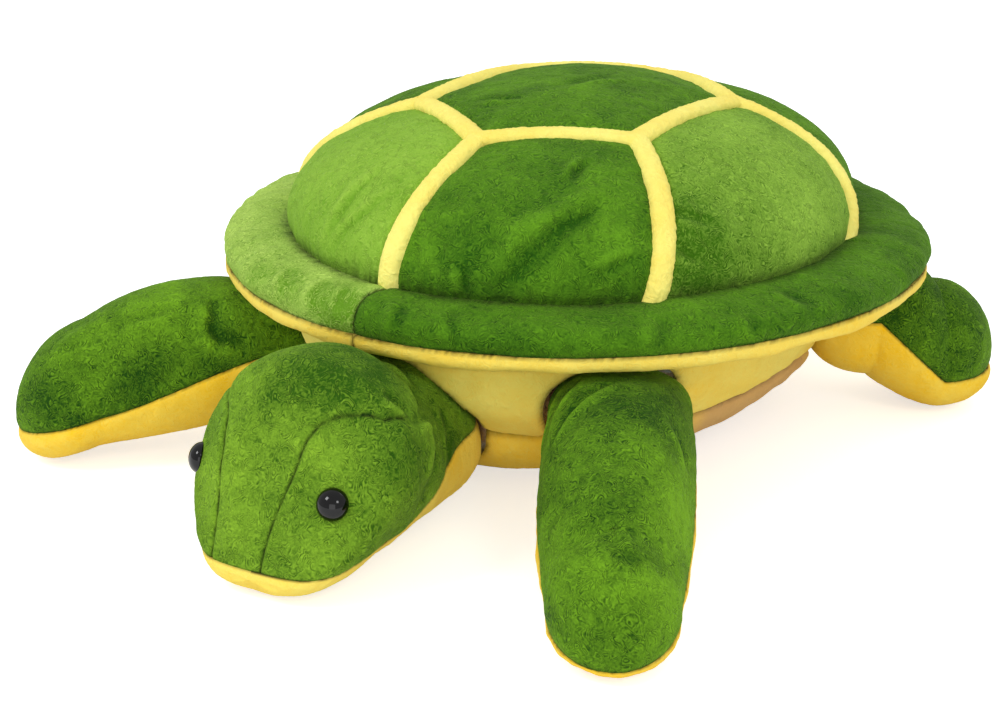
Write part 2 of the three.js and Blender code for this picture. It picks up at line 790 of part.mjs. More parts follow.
// Where an eye sits: the point of the cheek at a place of the face, and the direction straight out of
// it. The place is found on a grid over the cheek that closes in on the nearest point of the last one.
function eyeSeat(side) {
  const error = (t, angle) => {
    const { x, y, z } = headPoint(t, angle, 0);
    return hypot(x + faceLean(-y / head.length) - side * head.eyeAside, z - head.eyeHeight);
  };
  const steps = 12;
  let best = { t: (eyeRunShares[0] + eyeRunShares[1]) / 2, angle: quarterTurn * (1 - side / 2) };
  let reach = { t: (eyeRunShares[1] - eyeRunShares[0]) / 2, angle: quarterTurn / 2 };
  for (let pass = 0; pass < 3; pass++) {
    const tries = Array.from({ length: (2 * steps + 1) ** 2 }, (_, i) => ({
      t: best.t + (i % (2 * steps + 1) / steps - 1) * reach.t,
      angle: best.angle + (Math.floor(i / (2 * steps + 1)) / steps - 1) * reach.angle,
    }));
    best = tries.reduce((a, b) => (error(b.t, b.angle) < error(a.t, a.angle) ? b : a));
    reach = { t: 2 * reach.t / steps, angle: 2 * reach.angle / steps };
  }
  const step = 0.01;
  const along = headPoint(best.t + step, best.angle, 0).sub(headPoint(best.t - step, best.angle, 0));
  const round = headPoint(best.t, best.angle + step, 0).sub(headPoint(best.t, best.angle - step, 0));
  const out = round.cross(along).normalize();
  if (out.y > 0) out.negate();
  return { point: headPoint(best.t, best.angle, 0), out };
}

// A turned piece made along +Y, moved so that its origin is on the cheek and +Y points outwards.
function atEye(geometry, side) {
  const { point, out } = eyeSeat(side);
  geometry.applyQuaternion(new THREE.Quaternion().setFromUnitVectors(new THREE.Vector3(0, 1, 0), out));
  return geometry.translate(point.x, point.y, point.z);
}

function eyeGeometry() {
  const base = seamGap - eye.sunk;
  const profile = [new THREE.Vector2(0, -eye.shankLength)];
  profile.push(new THREE.Vector2(eye.shankRadius - eye.ribDepth, -eye.shankLength));
  for (let i = 0; i < eye.ribs; i++) {
    const start = i * eye.ribPitch + eye.ribDepth - eye.shankLength;
    profile.push(new THREE.Vector2(eye.shankRadius, start + eye.ribPitch / 2));
    profile.push(new THREE.Vector2(eye.shankRadius - eye.ribDepth, start + eye.ribPitch));
  }
  profile.push(new THREE.Vector2(eye.shankRadius - eye.ribDepth, base + eye.ribDepth));
  profile.push(new THREE.Vector2(eye.radius - eye.ribDepth, base + eye.ribDepth));
  for (let i = 0; i <= 5; i++) {
    const angle = i / 5 * quarterTurn;
    profile.push(new THREE.Vector2(
      eye.radius * cos(angle), base + 2 * eye.ribDepth + (eye.height - 2 * eye.ribDepth) * sin(angle),
    ));
  }
  profile[profile.length - 1].x = 0;
  return new THREE.LatheGeometry(profile, 12);
}

// How deep under the cheek the washer's inner face lies.
const washerDepth = plush + seamGap + eye.washerSeat + eye.washerThickness + eye.washerDish;

// The washer sits a little in from the cheek's inner face, dished towards it.
function washerGeometry() {
  const back = -washerDepth;
  const hole = eye.shankRadius + seamGap;
  const profile = [
    new THREE.Vector2(hole, back),
    new THREE.Vector2(eye.washerRadius, back + eye.washerDish),
    new THREE.Vector2(eye.washerRadius, back + eye.washerDish + eye.washerThickness),
    new THREE.Vector2(hole, back + eye.washerThickness),
    new THREE.Vector2(hole, back),
  ];
  return new THREE.LatheGeometry(profile, 12);
}

// The room that the shank and its washer take in the wadding.
function eyeRoom(side) {
  const deep = eye.shankLength + 2 * seamGap;
  const wide = eye.washerRadius + 2 * seamGap;
  const room = new THREE.LatheGeometry([
    new THREE.Vector2(0, -deep),
    new THREE.Vector2(wide / 2, -deep),
    new THREE.Vector2(wide, -washerDepth),
    new THREE.Vector2(wide, plush),
    new THREE.Vector2(0, plush),
  ], 12);
  return atEye(room, side);
}

// The hole in the cheek for the shank, and the round seat that lets the eye into the pile.
function eyeHole(side) {
  const shank = eye.shankRadius + seamGap;
  const seat = eye.radius + seamGap;
  const hole = new THREE.LatheGeometry([
    new THREE.Vector2(0, -eye.shankLength),
    new THREE.Vector2(shank, -eye.shankLength),
    new THREE.Vector2(shank, -eye.sunk),
    new THREE.Vector2(seat, -eye.sunk),
    new THREE.Vector2(seat, eye.height),
    new THREE.Vector2(0, eye.height),
  ], 12);
  return atEye(hole, side);
}

function headGroup() {
  const cloth = toSolid(headForm(0)).subtract(toSolid(headForm(plush)));
  const green = cloth.intersect(toSolid(aboveChin(seamGap / 2)));
  const chin = cloth.subtract(toSolid(aboveChin(-seamGap / 2)));
  const gusset = toGeometry(green.subtract(besideGusset(1, -seamGap / 2))
    .subtract(besideGusset(-1, -seamGap / 2)));
  const cheek = (side) => toGeometry(green.intersect(besideGusset(side, seamGap / 2))
    .subtract(toSolid(eyeHole(side))));
  const filling = cutAway(headForm(plush + seamGap), [eyeRoom(1), eyeRoom(-1)]);
  const group = new THREE.Group();
  group.position.set(head.pivotX, head.pivotY, 0);
  group.rotation.z = radians(head.turnDegrees);
  group.add(
    namedMesh('head_gusset', gusset, midGreen),
    namedMesh('cheek_left', cheek(1), midGreen),
    namedMesh('cheek_right', cheek(-1), midGreen),
    namedMesh('chin_panel', toGeometry(chin), yellow),
    namedMesh('head_filling', filling, waddingWhite),
  );
  for (const [name, side] of [['left', 1], ['right', -1]]) {
    const ball = namedMesh(`eye_${name}`, atEye(eyeGeometry(), side), eyeBlack);
    ball.material.roughness = 0.08;
    const washer = namedMesh(`eye_washer_${name}`, atEye(washerGeometry(), side), washerWhite);
    washer.material.roughness = 0.5;
    group.add(ball, washer);
  }
  return group;
}

// The hollow in the body that the neck turns in: the neck's egg turned about the pivot, with some ease.
function neckPocket() {
  const ease = head.neckRadius * pocketEaseShare;
  const low = head.height * neckUnderShare + head.chinLift - ease;
  const high = head.height * neckTopShare + head.chinLift + ease;
  const steps = 12;
  const profile = Array.from({ length: steps + 1 }, (_, i) => {
    const tilt = (2 * i / steps - 1) * quarterTurn;
    const radius = i % steps === 0 ? 0 : (head.neckRadius + ease) * cos(tilt);
    return new THREE.Vector2(radius, lerp(low, high, sagging(sin(tilt), neckSagShare)));
  });
  const pocket = new THREE.LatheGeometry(profile, 16);
  pocket.rotateX(quarterTurn);
  return pocket.translate(head.pivotX, head.pivotY, 0);
}

// Whole toy

function shellGroup() {
  const group = new THREE.Group();
  const panelColours = [darkGreen, midGreen, darkGreen, lightGreen, darkGreen, lightGreen];
  group.add(
    namedMesh('shell_top_panel', shellTopPanel(), darkGreen),
    namedMesh('shell_crown_band', shellCrownBand(), yellow),
    namedMesh('shell_filling', shellFilling(), waddingWhite),
  );
  crownCorners.forEach((_, i) => {
    group.add(namedMesh(`shell_panel_${i + 1}`, shellPanel(i), panelColours[i]));
    group.add(namedMesh(`shell_strip_${i + 1}`, shellStrip(i), yellow));
  });
  return group;
}

function rimGroup() {
  const group = new THREE.Group();
  for (const [name, side] of [['left', 1], ['right', -1]]) {
    group.add(namedMesh(`rim_top_${name}`, rimCover(rimTopPoint, side, 1), midGreen));
    group.add(namedMesh(`rim_underside_${name}`, rimCover(rimUndersidePoint, side, -1), yellow));
  }
  group.add(namedMesh('rim_filling', rimFilling(), waddingWhite));
  return group;
}

function bodyGroup() {
  const pockets = [neckPocket(), ...limbs.map(limbPocket)];
  const group = new THREE.Group();
  group.add(
    namedMesh('body_gusset', cutAway(bodyGusset(), pockets), yellow),
    namedMesh('belly_panel', cutAway(bellyPanel(), pockets), yellow),
    namedMesh('body_filling', cutAway(bodyFilling(), pockets), waddingWhite),
  );
  return group;
}

const turtle = new THREE.Group();
turtle.name = 'plush_turtle';
turtle.add(shellGroup(), rimGroup(), bodyGroup(), headGroup(), ...limbs.map(limbGroup));

export default turtle;
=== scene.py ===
"""A stuffed toy turtle, dressed: sewn plush covers over wadding, worked out as surfaces in the part's frame.

Sizes are in millimetres in the same frame as the solids, and turn into metres where a mesh is made. Each
cover is a grid of points given by a formula in two parameters, then filled by a short cloth simulation,
drawn in at its seams, and closed with an inner face one cloth thickness below.
"""
import logging
from dataclasses import dataclass, replace
from enum import Enum
from functools import reduce
from typing import Callable

import bpy
import numpy as np
from mathutils import Matrix, Vector


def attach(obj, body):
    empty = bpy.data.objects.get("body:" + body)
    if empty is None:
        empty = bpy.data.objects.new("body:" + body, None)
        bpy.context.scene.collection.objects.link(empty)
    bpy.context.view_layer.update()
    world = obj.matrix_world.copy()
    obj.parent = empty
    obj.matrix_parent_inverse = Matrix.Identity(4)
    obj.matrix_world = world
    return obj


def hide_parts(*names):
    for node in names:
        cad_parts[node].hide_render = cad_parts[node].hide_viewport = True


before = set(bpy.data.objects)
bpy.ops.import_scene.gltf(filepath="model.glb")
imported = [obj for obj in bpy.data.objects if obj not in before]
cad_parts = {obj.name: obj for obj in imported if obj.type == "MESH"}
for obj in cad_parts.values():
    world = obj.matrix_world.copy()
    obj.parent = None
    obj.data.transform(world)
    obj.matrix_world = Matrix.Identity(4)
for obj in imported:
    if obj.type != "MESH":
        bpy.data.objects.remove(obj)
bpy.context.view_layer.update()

Array = np.ndarray
Socket = bpy.types.NodeSocket
Field = Callable[[Array], Array]
Surface = Callable[[Array, Array], Array]
Test = Callable[[Array, Array, Array], Array]
Place = Grain = tuple[float, float, float]
Four = tuple[float, float, float, float]
Pairs = tuple[tuple[float, float], ...]
Creases = tuple["Crease", ...]
Shades = tuple["Shade", ...]
METRES = 0.001
QUARTER = np.pi / 2
TURN = 2 * np.pi
LOG = logging.getLogger("turtle")


# Numbers and surfaces


def unit(vectors: Array) -> Array:
    """Vectors divided by their lengths."""
    return vectors / np.maximum(np.linalg.norm(vectors, axis=-1, keepdims=True), 1e-12)


def lerp(a: Array, b: Array, t: Array) -> Array:
    """The value a share t of the way from a to b."""
    return a + (b - a) * t


def stack(x: Array, y: Array, z: Array) -> Array:
    """Points from three arrays that broadcast together."""
    return np.stack(np.broadcast_arrays(x, y, z), axis=-1).astype(float)


def turned(points: Array, degrees: float, x: float, y: float) -> Array:
    """Points turned about the upright axis and then moved in plan."""
    c, s = np.cos(np.radians(degrees)), np.sin(np.radians(degrees))
    px, py, pz = points[..., 0], points[..., 1], points[..., 2]
    return stack(x + c * px - s * py, y + s * px + c * py, pz)


def spline(knots: Array, share: Array) -> Array:
    """A smooth curve through knots, centripetal: each stretch is the cubic with the end slopes that the
    fourth root of the squared distances between knots gives.

    Args:
        knots: points on the curve, one row each.
        share: from 0 at the first knot to 1 at the last.

    Returns:
        One point for each share.
    """
    knots = np.asarray(knots, float)
    padded = np.vstack([2 * knots[0] - knots[1], knots, 2 * knots[-1] - knots[-2]])
    place = np.clip(share, 0, 1) * (len(knots) - 1)
    first = np.minimum(np.floor(place).astype(int), len(knots) - 2)
    t = (place - first)[..., None]
    p0, p1, p2, p3 = (padded[first + k] for k in range(4))
    d0, d1, d2 = (((b - a) ** 2).sum(-1, keepdims=True) ** 0.25 for a, b in ((p0, p1), (p1, p2), (p2, p3)))
    m1 = ((p1 - p0) / d0 - (p2 - p0) / (d0 + d1) + (p2 - p1) / d1) * d1
    m2 = ((p2 - p1) / d1 - (p3 - p1) / (d1 + d2) + (p3 - p2) / d2) * d1
    return p1 + m1 * t + (3 * (p2 - p1) - 2 * m1 - m2) * t**2 + (2 * (p1 - p2) + m1 + m2) * t**3


DIRECTIONS = unit(np.random.default_rng(11).normal(size=(256, 3)))
HASH_AXES = np.array([73856093, 19349663, 83492791])
HASH_SEED = 7919
HASH_MIX = 2654435761
SEED_SHIFT = 17.31


def noise(points: Array, cell: float, seed: int) -> Array:
    """Gradient noise of about -1 to 1: each corner of a cubic lattice holds a random direction, whose dot
    product with the way from that corner is blended over the cell by 6t^5 - 15t^4 + 10t^3.

    Args:
        points: where it is read.
        cell: the side of the lattice's cells.
        seed: for another noise of the same kind.

    Returns:
        One value for each point.
    """
    place = points / cell + seed * SEED_SHIFT
    base = np.floor(place).astype(np.int64)
    part = place - base
    blend = part**3 * (part * (part * 6 - 15) + 10)
    total = np.zeros(points.shape[:-1])
    for corner in np.ndindex(2, 2, 2):
        step = np.array(corner)
        key = ((base + step) * HASH_AXES).sum(-1) + seed * HASH_SEED
        key = (key ^ (key >> 11)) * HASH_MIX & 0xFFFFFFFF
        way = DIRECTIONS[(key >> 7) % len(DIRECTIONS)]
        weight = np.where(step == 1, blend, 1 - blend).prod(-1)
        total += weight * ((part - step) * way).sum(-1)
    return 1.6 * total


def layered(points: Array, layers: Pairs, seed: int) -> Array:
    """A sum of noises, each given by its share and its cell."""
    return sum(share * noise(points, cell, seed + k) for k, (share, cell) in enumerate(layers))


def grid_faces(rows: int, columns: int) -> Array:
    """Triangles of a grid of points with the given numbers of cells, numbered row by row."""
    i, j = np.meshgrid(np.arange(rows), np.arange(columns), indexing="ij")
    a = (i * (columns + 1) + j).ravel()
    b, c, d = a + columns + 1, a + columns + 2, a + 1
    return np.vstack([np.stack([a, b, c], 1), np.stack([a, c, d], 1)])


def parameters(cells: tuple[int, int]) -> tuple[Array, Array]:
    """Two parameters from 0 to 1 at the points of a grid with the given numbers of cells."""
    u, v = np.meshgrid(*(np.linspace(0, 1, count + 1) for count in cells), indexing="ij")
    return u, v


def weld(columns: Array, faces: Array) -> tuple[Array, Array, Array]:
    """Joins the points that coincide and drops the triangles that this flattens.

    Args:
        columns: one row of values for each point, its place first.
        faces: triangles of point numbers.

    Returns:
        The rows kept, the triangles kept, and the new number of each old point.
    """
    _, first, number = np.unique(np.round(columns[:, :3], 3), axis=0, return_index=True, return_inverse=True)
    number = number.ravel()
    faces = number[faces]
    a, b, c = faces.T
    return columns[first], faces[(a != b) & (b != c) & (c != a)], number


def vertex_normals(points: Array, faces: Array) -> Array:
    """The sum of the normals of the triangles round each point, weighted by their areas."""
    a, b, c = (points[faces[:, k]] for k in range(3))
    across = np.cross(b - a, c - a)
    total = np.stack([
        sum(np.bincount(faces[:, k], across[:, axis], len(points)) for k in range(3)) for axis in range(3)
    ], 1)
    return unit(total)


def facing_out(points: Array, faces: Array, middle: Array) -> Array:
    """The triangles, turned so that most face away from a place in the middle."""
    a, b, c = (points[faces[:, k]] - middle for k in range(3))
    return faces if (np.cross(b - a, c - a) * a).sum() > 0 else faces[:, ::-1]


def spread(values: Array, faces: Array, held: Array, rounds: int) -> Array:
    """Values of points, averaged a number of times with the mean of their neighbours, except where held."""
    a, b = np.vstack([faces[:, [0, 1]], faces[:, [1, 2]], faces[:, [2, 0]]]).T
    neighbours = np.bincount(a, minlength=len(values)) + np.bincount(b, minlength=len(values))
    for _ in range(rounds):
        total = np.bincount(a, values[b], len(values)) + np.bincount(b, values[a], len(values))
        values = np.where(held, values, (values + total / neighbours) / 2)
    return values


def cut(columns: Array, faces: Array, value: Array) -> tuple[Array, Array]:
    """Keeps the part of a surface where a value is above zero. A triangle that the line crosses is split
    where the value, taken as straight along each of its edges, is zero."""
    inside = value > 0
    count = inside[faces].sum(1)
    mixed = faces[(count == 1) | (count == 2)]
    lone_inside = inside[mixed].sum(1) == 1
    lone = np.argmax(inside[mixed] == lone_inside[:, None], axis=1)
    rows = np.arange(len(mixed))
    a, b, c = (mixed[rows, (lone + k) % 3] for k in range(3))
    edges = np.sort(np.vstack([np.stack([a, b], 1), np.stack([a, c], 1)]), axis=1)
    edges, number = np.unique(edges, axis=0, return_inverse=True)
    number = number.ravel() + len(columns)
    ab, ac = number[: len(mixed)], number[len(mixed):]
    p, q = edges.T
    share = np.clip(value[p] / (value[p] - value[q]), 0.02, 0.98)[:, None]
    columns = np.vstack([columns, lerp(columns[p], columns[q], share)])
    one, two = lone_inside, ~lone_inside
    faces = np.vstack([
        faces[count == 3], np.stack([a, ab, ac], 1)[one],
        np.stack([ab, b, c], 1)[two], np.stack([ab, c, ac], 1)[two],
    ])
    used, faces = np.unique(faces, return_inverse=True)
    return columns[used], faces.reshape(-1, 3)


def closed_cloth(outer: Array, inner: Array, faces: Array) -> tuple[Array, Array, Array]:
    """Joins an outer and an inner layer of the same triangles by a wall along every free edge, which is an
    edge that only one triangle has. The pairs of points along the wall come third."""
    count = len(outer)
    starts, ends = faces.ravel(), np.roll(faces, -1, axis=1).ravel()
    free = ~np.isin(starts * count + ends, ends * count + starts)
    a, b = starts[free], ends[free]
    walls = np.vstack([np.stack([b, a, a + count], 1), np.stack([b, a + count, b + count], 1)])
    rims = np.stack([a, b], 1)
    triangles = np.vstack([faces, faces[:, ::-1] + count, walls])
    return np.vstack([outer, inner]), triangles, np.vstack([rims, rims + count])


def upsample(values: Array, rows: int, columns: int) -> Array:
    """A grid of values spread smoothly over a finer grid, by a cubic through the four nearest in each
    direction."""
    def weights(count: int, fine: int) -> Array:
        """The share of each coarse value in each fine one."""
        place = np.linspace(0, count - 1, fine)
        base = np.minimum(np.floor(place).astype(int), count - 2)
        t = place - base
        cubic = (-t / 2 + t**2 - t**3 / 2, 1 - 2.5 * t**2 + 1.5 * t**3,
                 t / 2 + 2 * t**2 - 1.5 * t**3, -(t**2) / 2 + t**3 / 2)
        matrix = np.zeros((fine, count))
        for k, share in enumerate(cubic):
            np.add.at(matrix, (np.arange(fine), np.clip(base + k - 1, 0, count - 1)), share)
        return matrix
    along, across = weights(values.shape[0], rows), weights(values.shape[1], columns)
    return np.einsum("ai,ijk,bj->abk", along, values, across)


# Seams that cut a form, and the hollows that the limbs turn in


@dataclass(frozen=True)
class Draw:
    """How a seam draws the cloth in: down by roll within width of it, in folds of height pucker that fade
    over reach, with a hem turned in and painted shade of some width in its groove."""

    roll: float = 2.2
    width: float = 6.0
    pucker: float = 0.9
    reach: float = 16.0
    hem: float = 4.0
    seam_shade_width: float = 1.6


@dataclass
class Line:
    """A seam or an opening, given by a signed distance in millimetres that is above zero on the side kept.

    along changes along the seam only, and fade gives the share of its strength that it has at each place.
    """

    value: Field
    along: Field
    draw: Draw
    fade: Field | None = None

    def other_side(self) -> "Line":
        """The same seam with the other side kept."""
        return replace(self, value=lambda p: -self.value(p))

    def strength(self, points: Array) -> Array:
        """How strongly the seam draws the cloth in at each place."""
        return np.ones(len(points)) if self.fade is None else self.fade(points)


@dataclass
class Hollow:
    """The room in the body that a round root turns in. Its section at each height is a circle, and its
    profile is a superellipse, or an ellipse with the heights sagging by a power above one."""

    x: float
    y: float
    radius: float
    low: float
    high: float
    widest: float
    power: float
    sag: float = 0.0
    reach: float = 2.5
    halvings: int = 16

    def level(self, z: Array) -> Array:
        """A height from -1 at the bottom over 0 at the widest place to 1 at the top."""
        if self.sag:
            share = (z - self.low) / (self.high - self.low)
            return 2 * np.sign(share) * np.abs(share) ** (1 / (1 + self.sag)) - 1
        away = z - self.widest
        return away / np.where(away > 0, self.high - self.widest, self.widest - self.low)

    def value(self, points: Array) -> Array:
        """Roughly the distance outside: the superellipse's own radius less one, times the radius."""
        across = np.hypot(points[..., 0] - self.x, points[..., 1] - self.y) / self.radius
        rho = (across**self.power + np.abs(self.level(points[..., 2])) ** self.power) ** (1 / self.power)
        return (rho - 1) * self.radius * 0.9

    def along(self, points: Array) -> Array:
        """What changes along the edge of the opening only: the way out of the middle."""
        return unit(points - (self.x, self.y, self.widest)) * self.radius

    def line(self) -> Line:
        """The edge of the opening in the body's cloth, which is drawn in but has no hem."""
        return Line(self.value, self.along, Draw(roll=1.6, pucker=1.0, reach=22.0, hem=0.0))

    def pushed_out(self, points: Array, inwards: Array) -> Array:
        """Points inside the room moved along a direction to its wall, which halving finds."""
        near, far = np.zeros(len(points)), np.full(len(points), self.reach * self.radius)
        for _ in range(self.halvings):
            middle = (near + far) / 2
            inside = self.value(points + inwards * middle[:, None]) < 0
            near, far = np.where(inside, middle, near), np.where(inside, far, middle)
        return points + inwards * np.where(self.value(points) < 0, far, 0)[:, None]


# Finishes


def linear(hex_colour: int, alpha: float = 1.0) -> Four:
    """A colour as written on a screen, turned into the renderer's linear values."""
    channels = [((hex_colour >> shift) & 255) / 255 for shift in (16, 8, 0)]
    return (*(c / 12.92 if c <= 0.04045 else ((c + 0.055) / 1.055) ** 2.4 for c in channels), alpha)


class Nodes:
    """Adds and joins the nodes of one tree."""

    def __init__(self, tree: bpy.types.NodeTree) -> None:
        """Starts on a tree."""
        self.tree = tree

    def add(self, kind: str, inputs: dict | None = None, **settings: object) -> bpy.types.Node:
        """Adds a node.

        Args:
            kind: the node's type.
            inputs: for each input's name or number, a value or the output that feeds it.
            **settings: the node's own properties.

        Returns:
            The node.
        """
        node = self.tree.nodes.new(kind)
        for name, value in settings.items():
            setattr(node, name, value)
        for name, value in (inputs or {}).items():
            if isinstance(value, Socket):
                self.tree.links.new(value, node.inputs[name])
            else:
                node.inputs[name].default_value = value
        return node

    def math(self, operation: str, *values: object, clamp: bool = False) -> Socket:
        """The result of a sum on numbers or outputs."""
        node = self.add("ShaderNodeMath", dict(enumerate(values)), operation=operation, use_clamp=clamp)
        return node.outputs[0]

    def total(self, *values: object, clamp: bool = False) -> Socket:
        """The sum of numbers or outputs."""
        first = reduce(lambda a, b: self.math("ADD", a, b), values[:-1])
        return self.math("ADD", first, values[-1], clamp=clamp)

    def scaled(self, value: object, factor: object) -> Socket:
        """A product."""
        return self.math("MULTIPLY", value, factor)

    def limited(self, value: object, limit: float) -> Socket:
        """A value kept between minus and plus a limit."""
        return self.math("MAXIMUM", -limit, self.math("MINIMUM", limit, value))

    def mixed(self, share: object, first: object, second: object, blend: str = "MIX") -> Socket:
        """Two colours mixed."""
        node = self.add("ShaderNodeMix", {0: share, 6: first, 7: second}, data_type="RGBA", blend_type=blend)
        return node.outputs[2]

    def attribute(self, name: str, output: str = "Fac") -> Socket:
        """A value that the mesh holds for each point."""
        return self.add("ShaderNodeAttribute", attribute_name=name).outputs[output]

    def noise(self, where: object, scale: float, detail: float, distortion: float) -> Socket:
        """Noise at a place, less its middle value."""
        node = self.add("ShaderNodeTexNoise", {
            "Vector": where, "Scale": scale, "Detail": detail, "Distortion": distortion,
        })
        return self.math("SUBTRACT", node.outputs[0], 0.5)


@dataclass(frozen=True)
class PileDetail:
    """The shares that patches, smudges, curled tufts and single fibres have in short pile.

    Each noise is given by its scale in one over metres, its detail and its distortion. The curls are the
    sine of their noise, turned many times and broken up by another one.
    """

    patch: Grain = (26.0, 2.0, 0.7)
    smudge: Grain = (90.0, 3.0, 1.4)
    curl: Grain = (130.0, 1.0, 1.2)
    broken: Grain = (260.0, 1.0, 0.0)
    fibre: Grain = (900.0, 2.0, 0.5)
    curl_turns: float = 56.0
    unbroken: float = 0.4
    breaking: float = 2.6
    smudge_share: float = 0.5
    laid_limit: float = 0.4
    curl_share: float = 0.36
    fibre_share: float = 0.8
    painted_light_share: float = 0.5
    painted_light_limit: float = 0.42
    seam_shade_share: float = 0.75
    roughness: tuple[float, float] = (0.82, 0.12)
    heights: Grain = (0.3, 0.6, 2.2)
    bump: float = 0.0014
    lining: int = 0xD9AE6E

    def group(self) -> bpy.types.NodeTree:
        """The node group, made once. It mixes a deep and a bright colour by random patches, tufts and the
        painted light and shade, puts the tan over them, paints shade into the seams' grooves and onto the
        cloth's inner face, and raises the tufts."""
        tree = bpy.data.node_groups.get("pile")
        if tree:
            return tree
        tree = bpy.data.node_groups.new("pile", "ShaderNodeTree")
        for name, kind, start in (
            ("Deep", "NodeSocketColor", (0, 0, 0, 1)), ("Bright", "NodeSocketColor", (1, 1, 1, 1)),
            ("Patches", "NodeSocketFloat", 1.0), ("Curls", "NodeSocketFloat", 1.0),
            ("Relief", "NodeSocketFloat", 1.0),
        ):
            tree.interface.new_socket(name, in_out="INPUT", socket_type=kind).default_value = start
        for name, kind in (("Color", "Color"), ("Roughness", "Float"), ("Normal", "Vector")):
            tree.interface.new_socket(name, in_out="OUTPUT", socket_type="NodeSocket" + kind)
        n = Nodes(tree)
        given = n.add("NodeGroupInput").outputs
        rest = n.attribute("rest", "Vector")
        patch, smudge, curl, broken, fibre = (
            n.noise(rest, *kind) for kind in (self.patch, self.smudge, self.curl, self.broken, self.fibre))
        whole = n.total(self.unbroken, n.scaled(broken, self.breaking), clamp=True)
        ridges = n.scaled(n.math("SINE", n.scaled(curl, self.curl_turns)), whole)
        laid = n.total(patch, n.scaled(smudge, self.smudge_share))
        large = n.scaled(n.limited(laid, self.laid_limit), given["Patches"])
        small = n.total(n.scaled(ridges, self.curl_share), n.scaled(fibre, self.fibre_share))
        # Painted light and shade: the mesh's value moves the mix towards the bright or the deep colour.
        level = n.total(0.5, n.limited(n.scaled(n.attribute("painted_light"), self.painted_light_share), self.painted_light_limit))
        mix = n.total(large, n.scaled(small, given["Curls"]), level, clamp=True)
        colour = n.mixed(mix, given["Deep"], given["Bright"])
        lined = n.mixed(n.attribute("lining"), colour, linear(self.lining))
        # Painted shade from the 'crease' attribute: in the seams' grooves and on the inner face.
        shade = n.math("SUBTRACT", 1.0, n.scaled(n.attribute("crease"), self.seam_shade_share))
        grey = n.add("ShaderNodeCombineColor", {0: shade, 1: shade, 2: shade}).outputs[0]
        height = n.total(*(n.scaled(*pair) for pair in zip((ridges, fibre, smudge), self.heights)))
        bump = n.add("ShaderNodeBump", {"Height": height, "Strength": given["Relief"], "Distance": self.bump})
        n.add("NodeGroupOutput", {
            "Color": n.mixed(1.0, lined, grey, "MULTIPLY"),
            "Roughness": n.total(self.roughness[0], n.scaled(mix, self.roughness[1])),
            "Normal": bump.outputs[0],
        })
        return tree


@dataclass(frozen=True)
class Plush:
    """One colour of plush between a deep and a bright end. Random patches and tufts mix them, and painted
    light and shade push the mix: the deep end stands for painted shade and the bright end for the painted
    sheen of the pile.
    """

    name: str
    slot: str
    deep: int
    bright: int
    patches: float = 1.0
    curls: float = 1.0
    relief: float = 0.7
    sheen: float = 0.2
    sheen_tint: int = 0xB4DC60
    sheen_roughness: float = 0.45
    specular: float = 0.15

    def material(self) -> bpy.types.Material:
        """The finished material, made once."""
        made = bpy.data.materials.get(self.name)
        if made:
            return made
        made = bpy.data.materials.new(self.name)
        made.use_nodes = True
        n = Nodes(made.node_tree)
        shader = made.node_tree.nodes["Principled BSDF"]
        group = n.add("ShaderNodeGroup", {}, node_tree=PileDetail().group())
        for socket, value in (("Deep", linear(self.deep)), ("Bright", linear(self.bright)),
                              ("Patches", self.patches), ("Curls", self.curls), ("Relief", self.relief)):
            group.inputs[socket].default_value = value
        for output, socket in (("Color", "Base Color"), ("Roughness", "Roughness"), ("Normal", "Normal")):
            made.node_tree.links.new(group.outputs[output], shader.inputs[socket])
        for socket, value in (("Sheen Weight", self.sheen), ("Sheen Roughness", self.sheen_roughness),
                              ("Sheen Tint", linear(self.sheen_tint)), ("Specular IOR Level", self.specular)):
            shader.inputs[socket].default_value = value
        return made


class Pile(Enum):
    """The plushes and the wadding that the toy is made of. The shaded, half lit and lit greens, and the two
    rim greens, are one green plush with its sheen painted in as painted shade or painted light.
    """

    # Painted sheen: one green plush in shaded, half lit and lit copies, for panels that the light catches
    # differently.
    DARK = Plush("plush_green_painted_shade", "green_plush_dark", 0x225200, 0x669C1C)
    LIGHT = Plush("plush_green_painted_light", "green_plush_light", 0x6C9E22, 0x9CC648, patches=0.5)
    MIDDLE = Plush("plush_green_painted_half_light", "green_plush_light", 0x386800, 0x9CC848, patches=0.7)
    LIMB = Plush("plush_limb_green", "green_plush", 0x1A4400, 0x78AC20, sheen=0.12)
    HEAD = Plush("plush_head_green", "green_plush", 0x2A5600, 0x8CB830, sheen=0.15)
    RIM_DARK = Plush("plush_rim_green_painted_shade", "green_plush", 0x1C4A00, 0x609618)
    RIM_LIGHT = Plush("plush_rim_green_painted_light", "green_plush", 0x64941E, 0xC8E870, patches=0.7)
    YELLOW = Plush("plush_yellow", "yellow_plush", 0xFFCA10, 0xFFF88A, patches=0.5, curls=0.25, relief=0.35,
                   sheen=0.05, sheen_tint=0xFFF2B0)
    WADDING = Plush("wadding", "fibre_filling", 0xC8C6BE, 0xEFEDE6, patches=0.6, relief=1.0,
                    sheen_tint=0xFFFFFF)


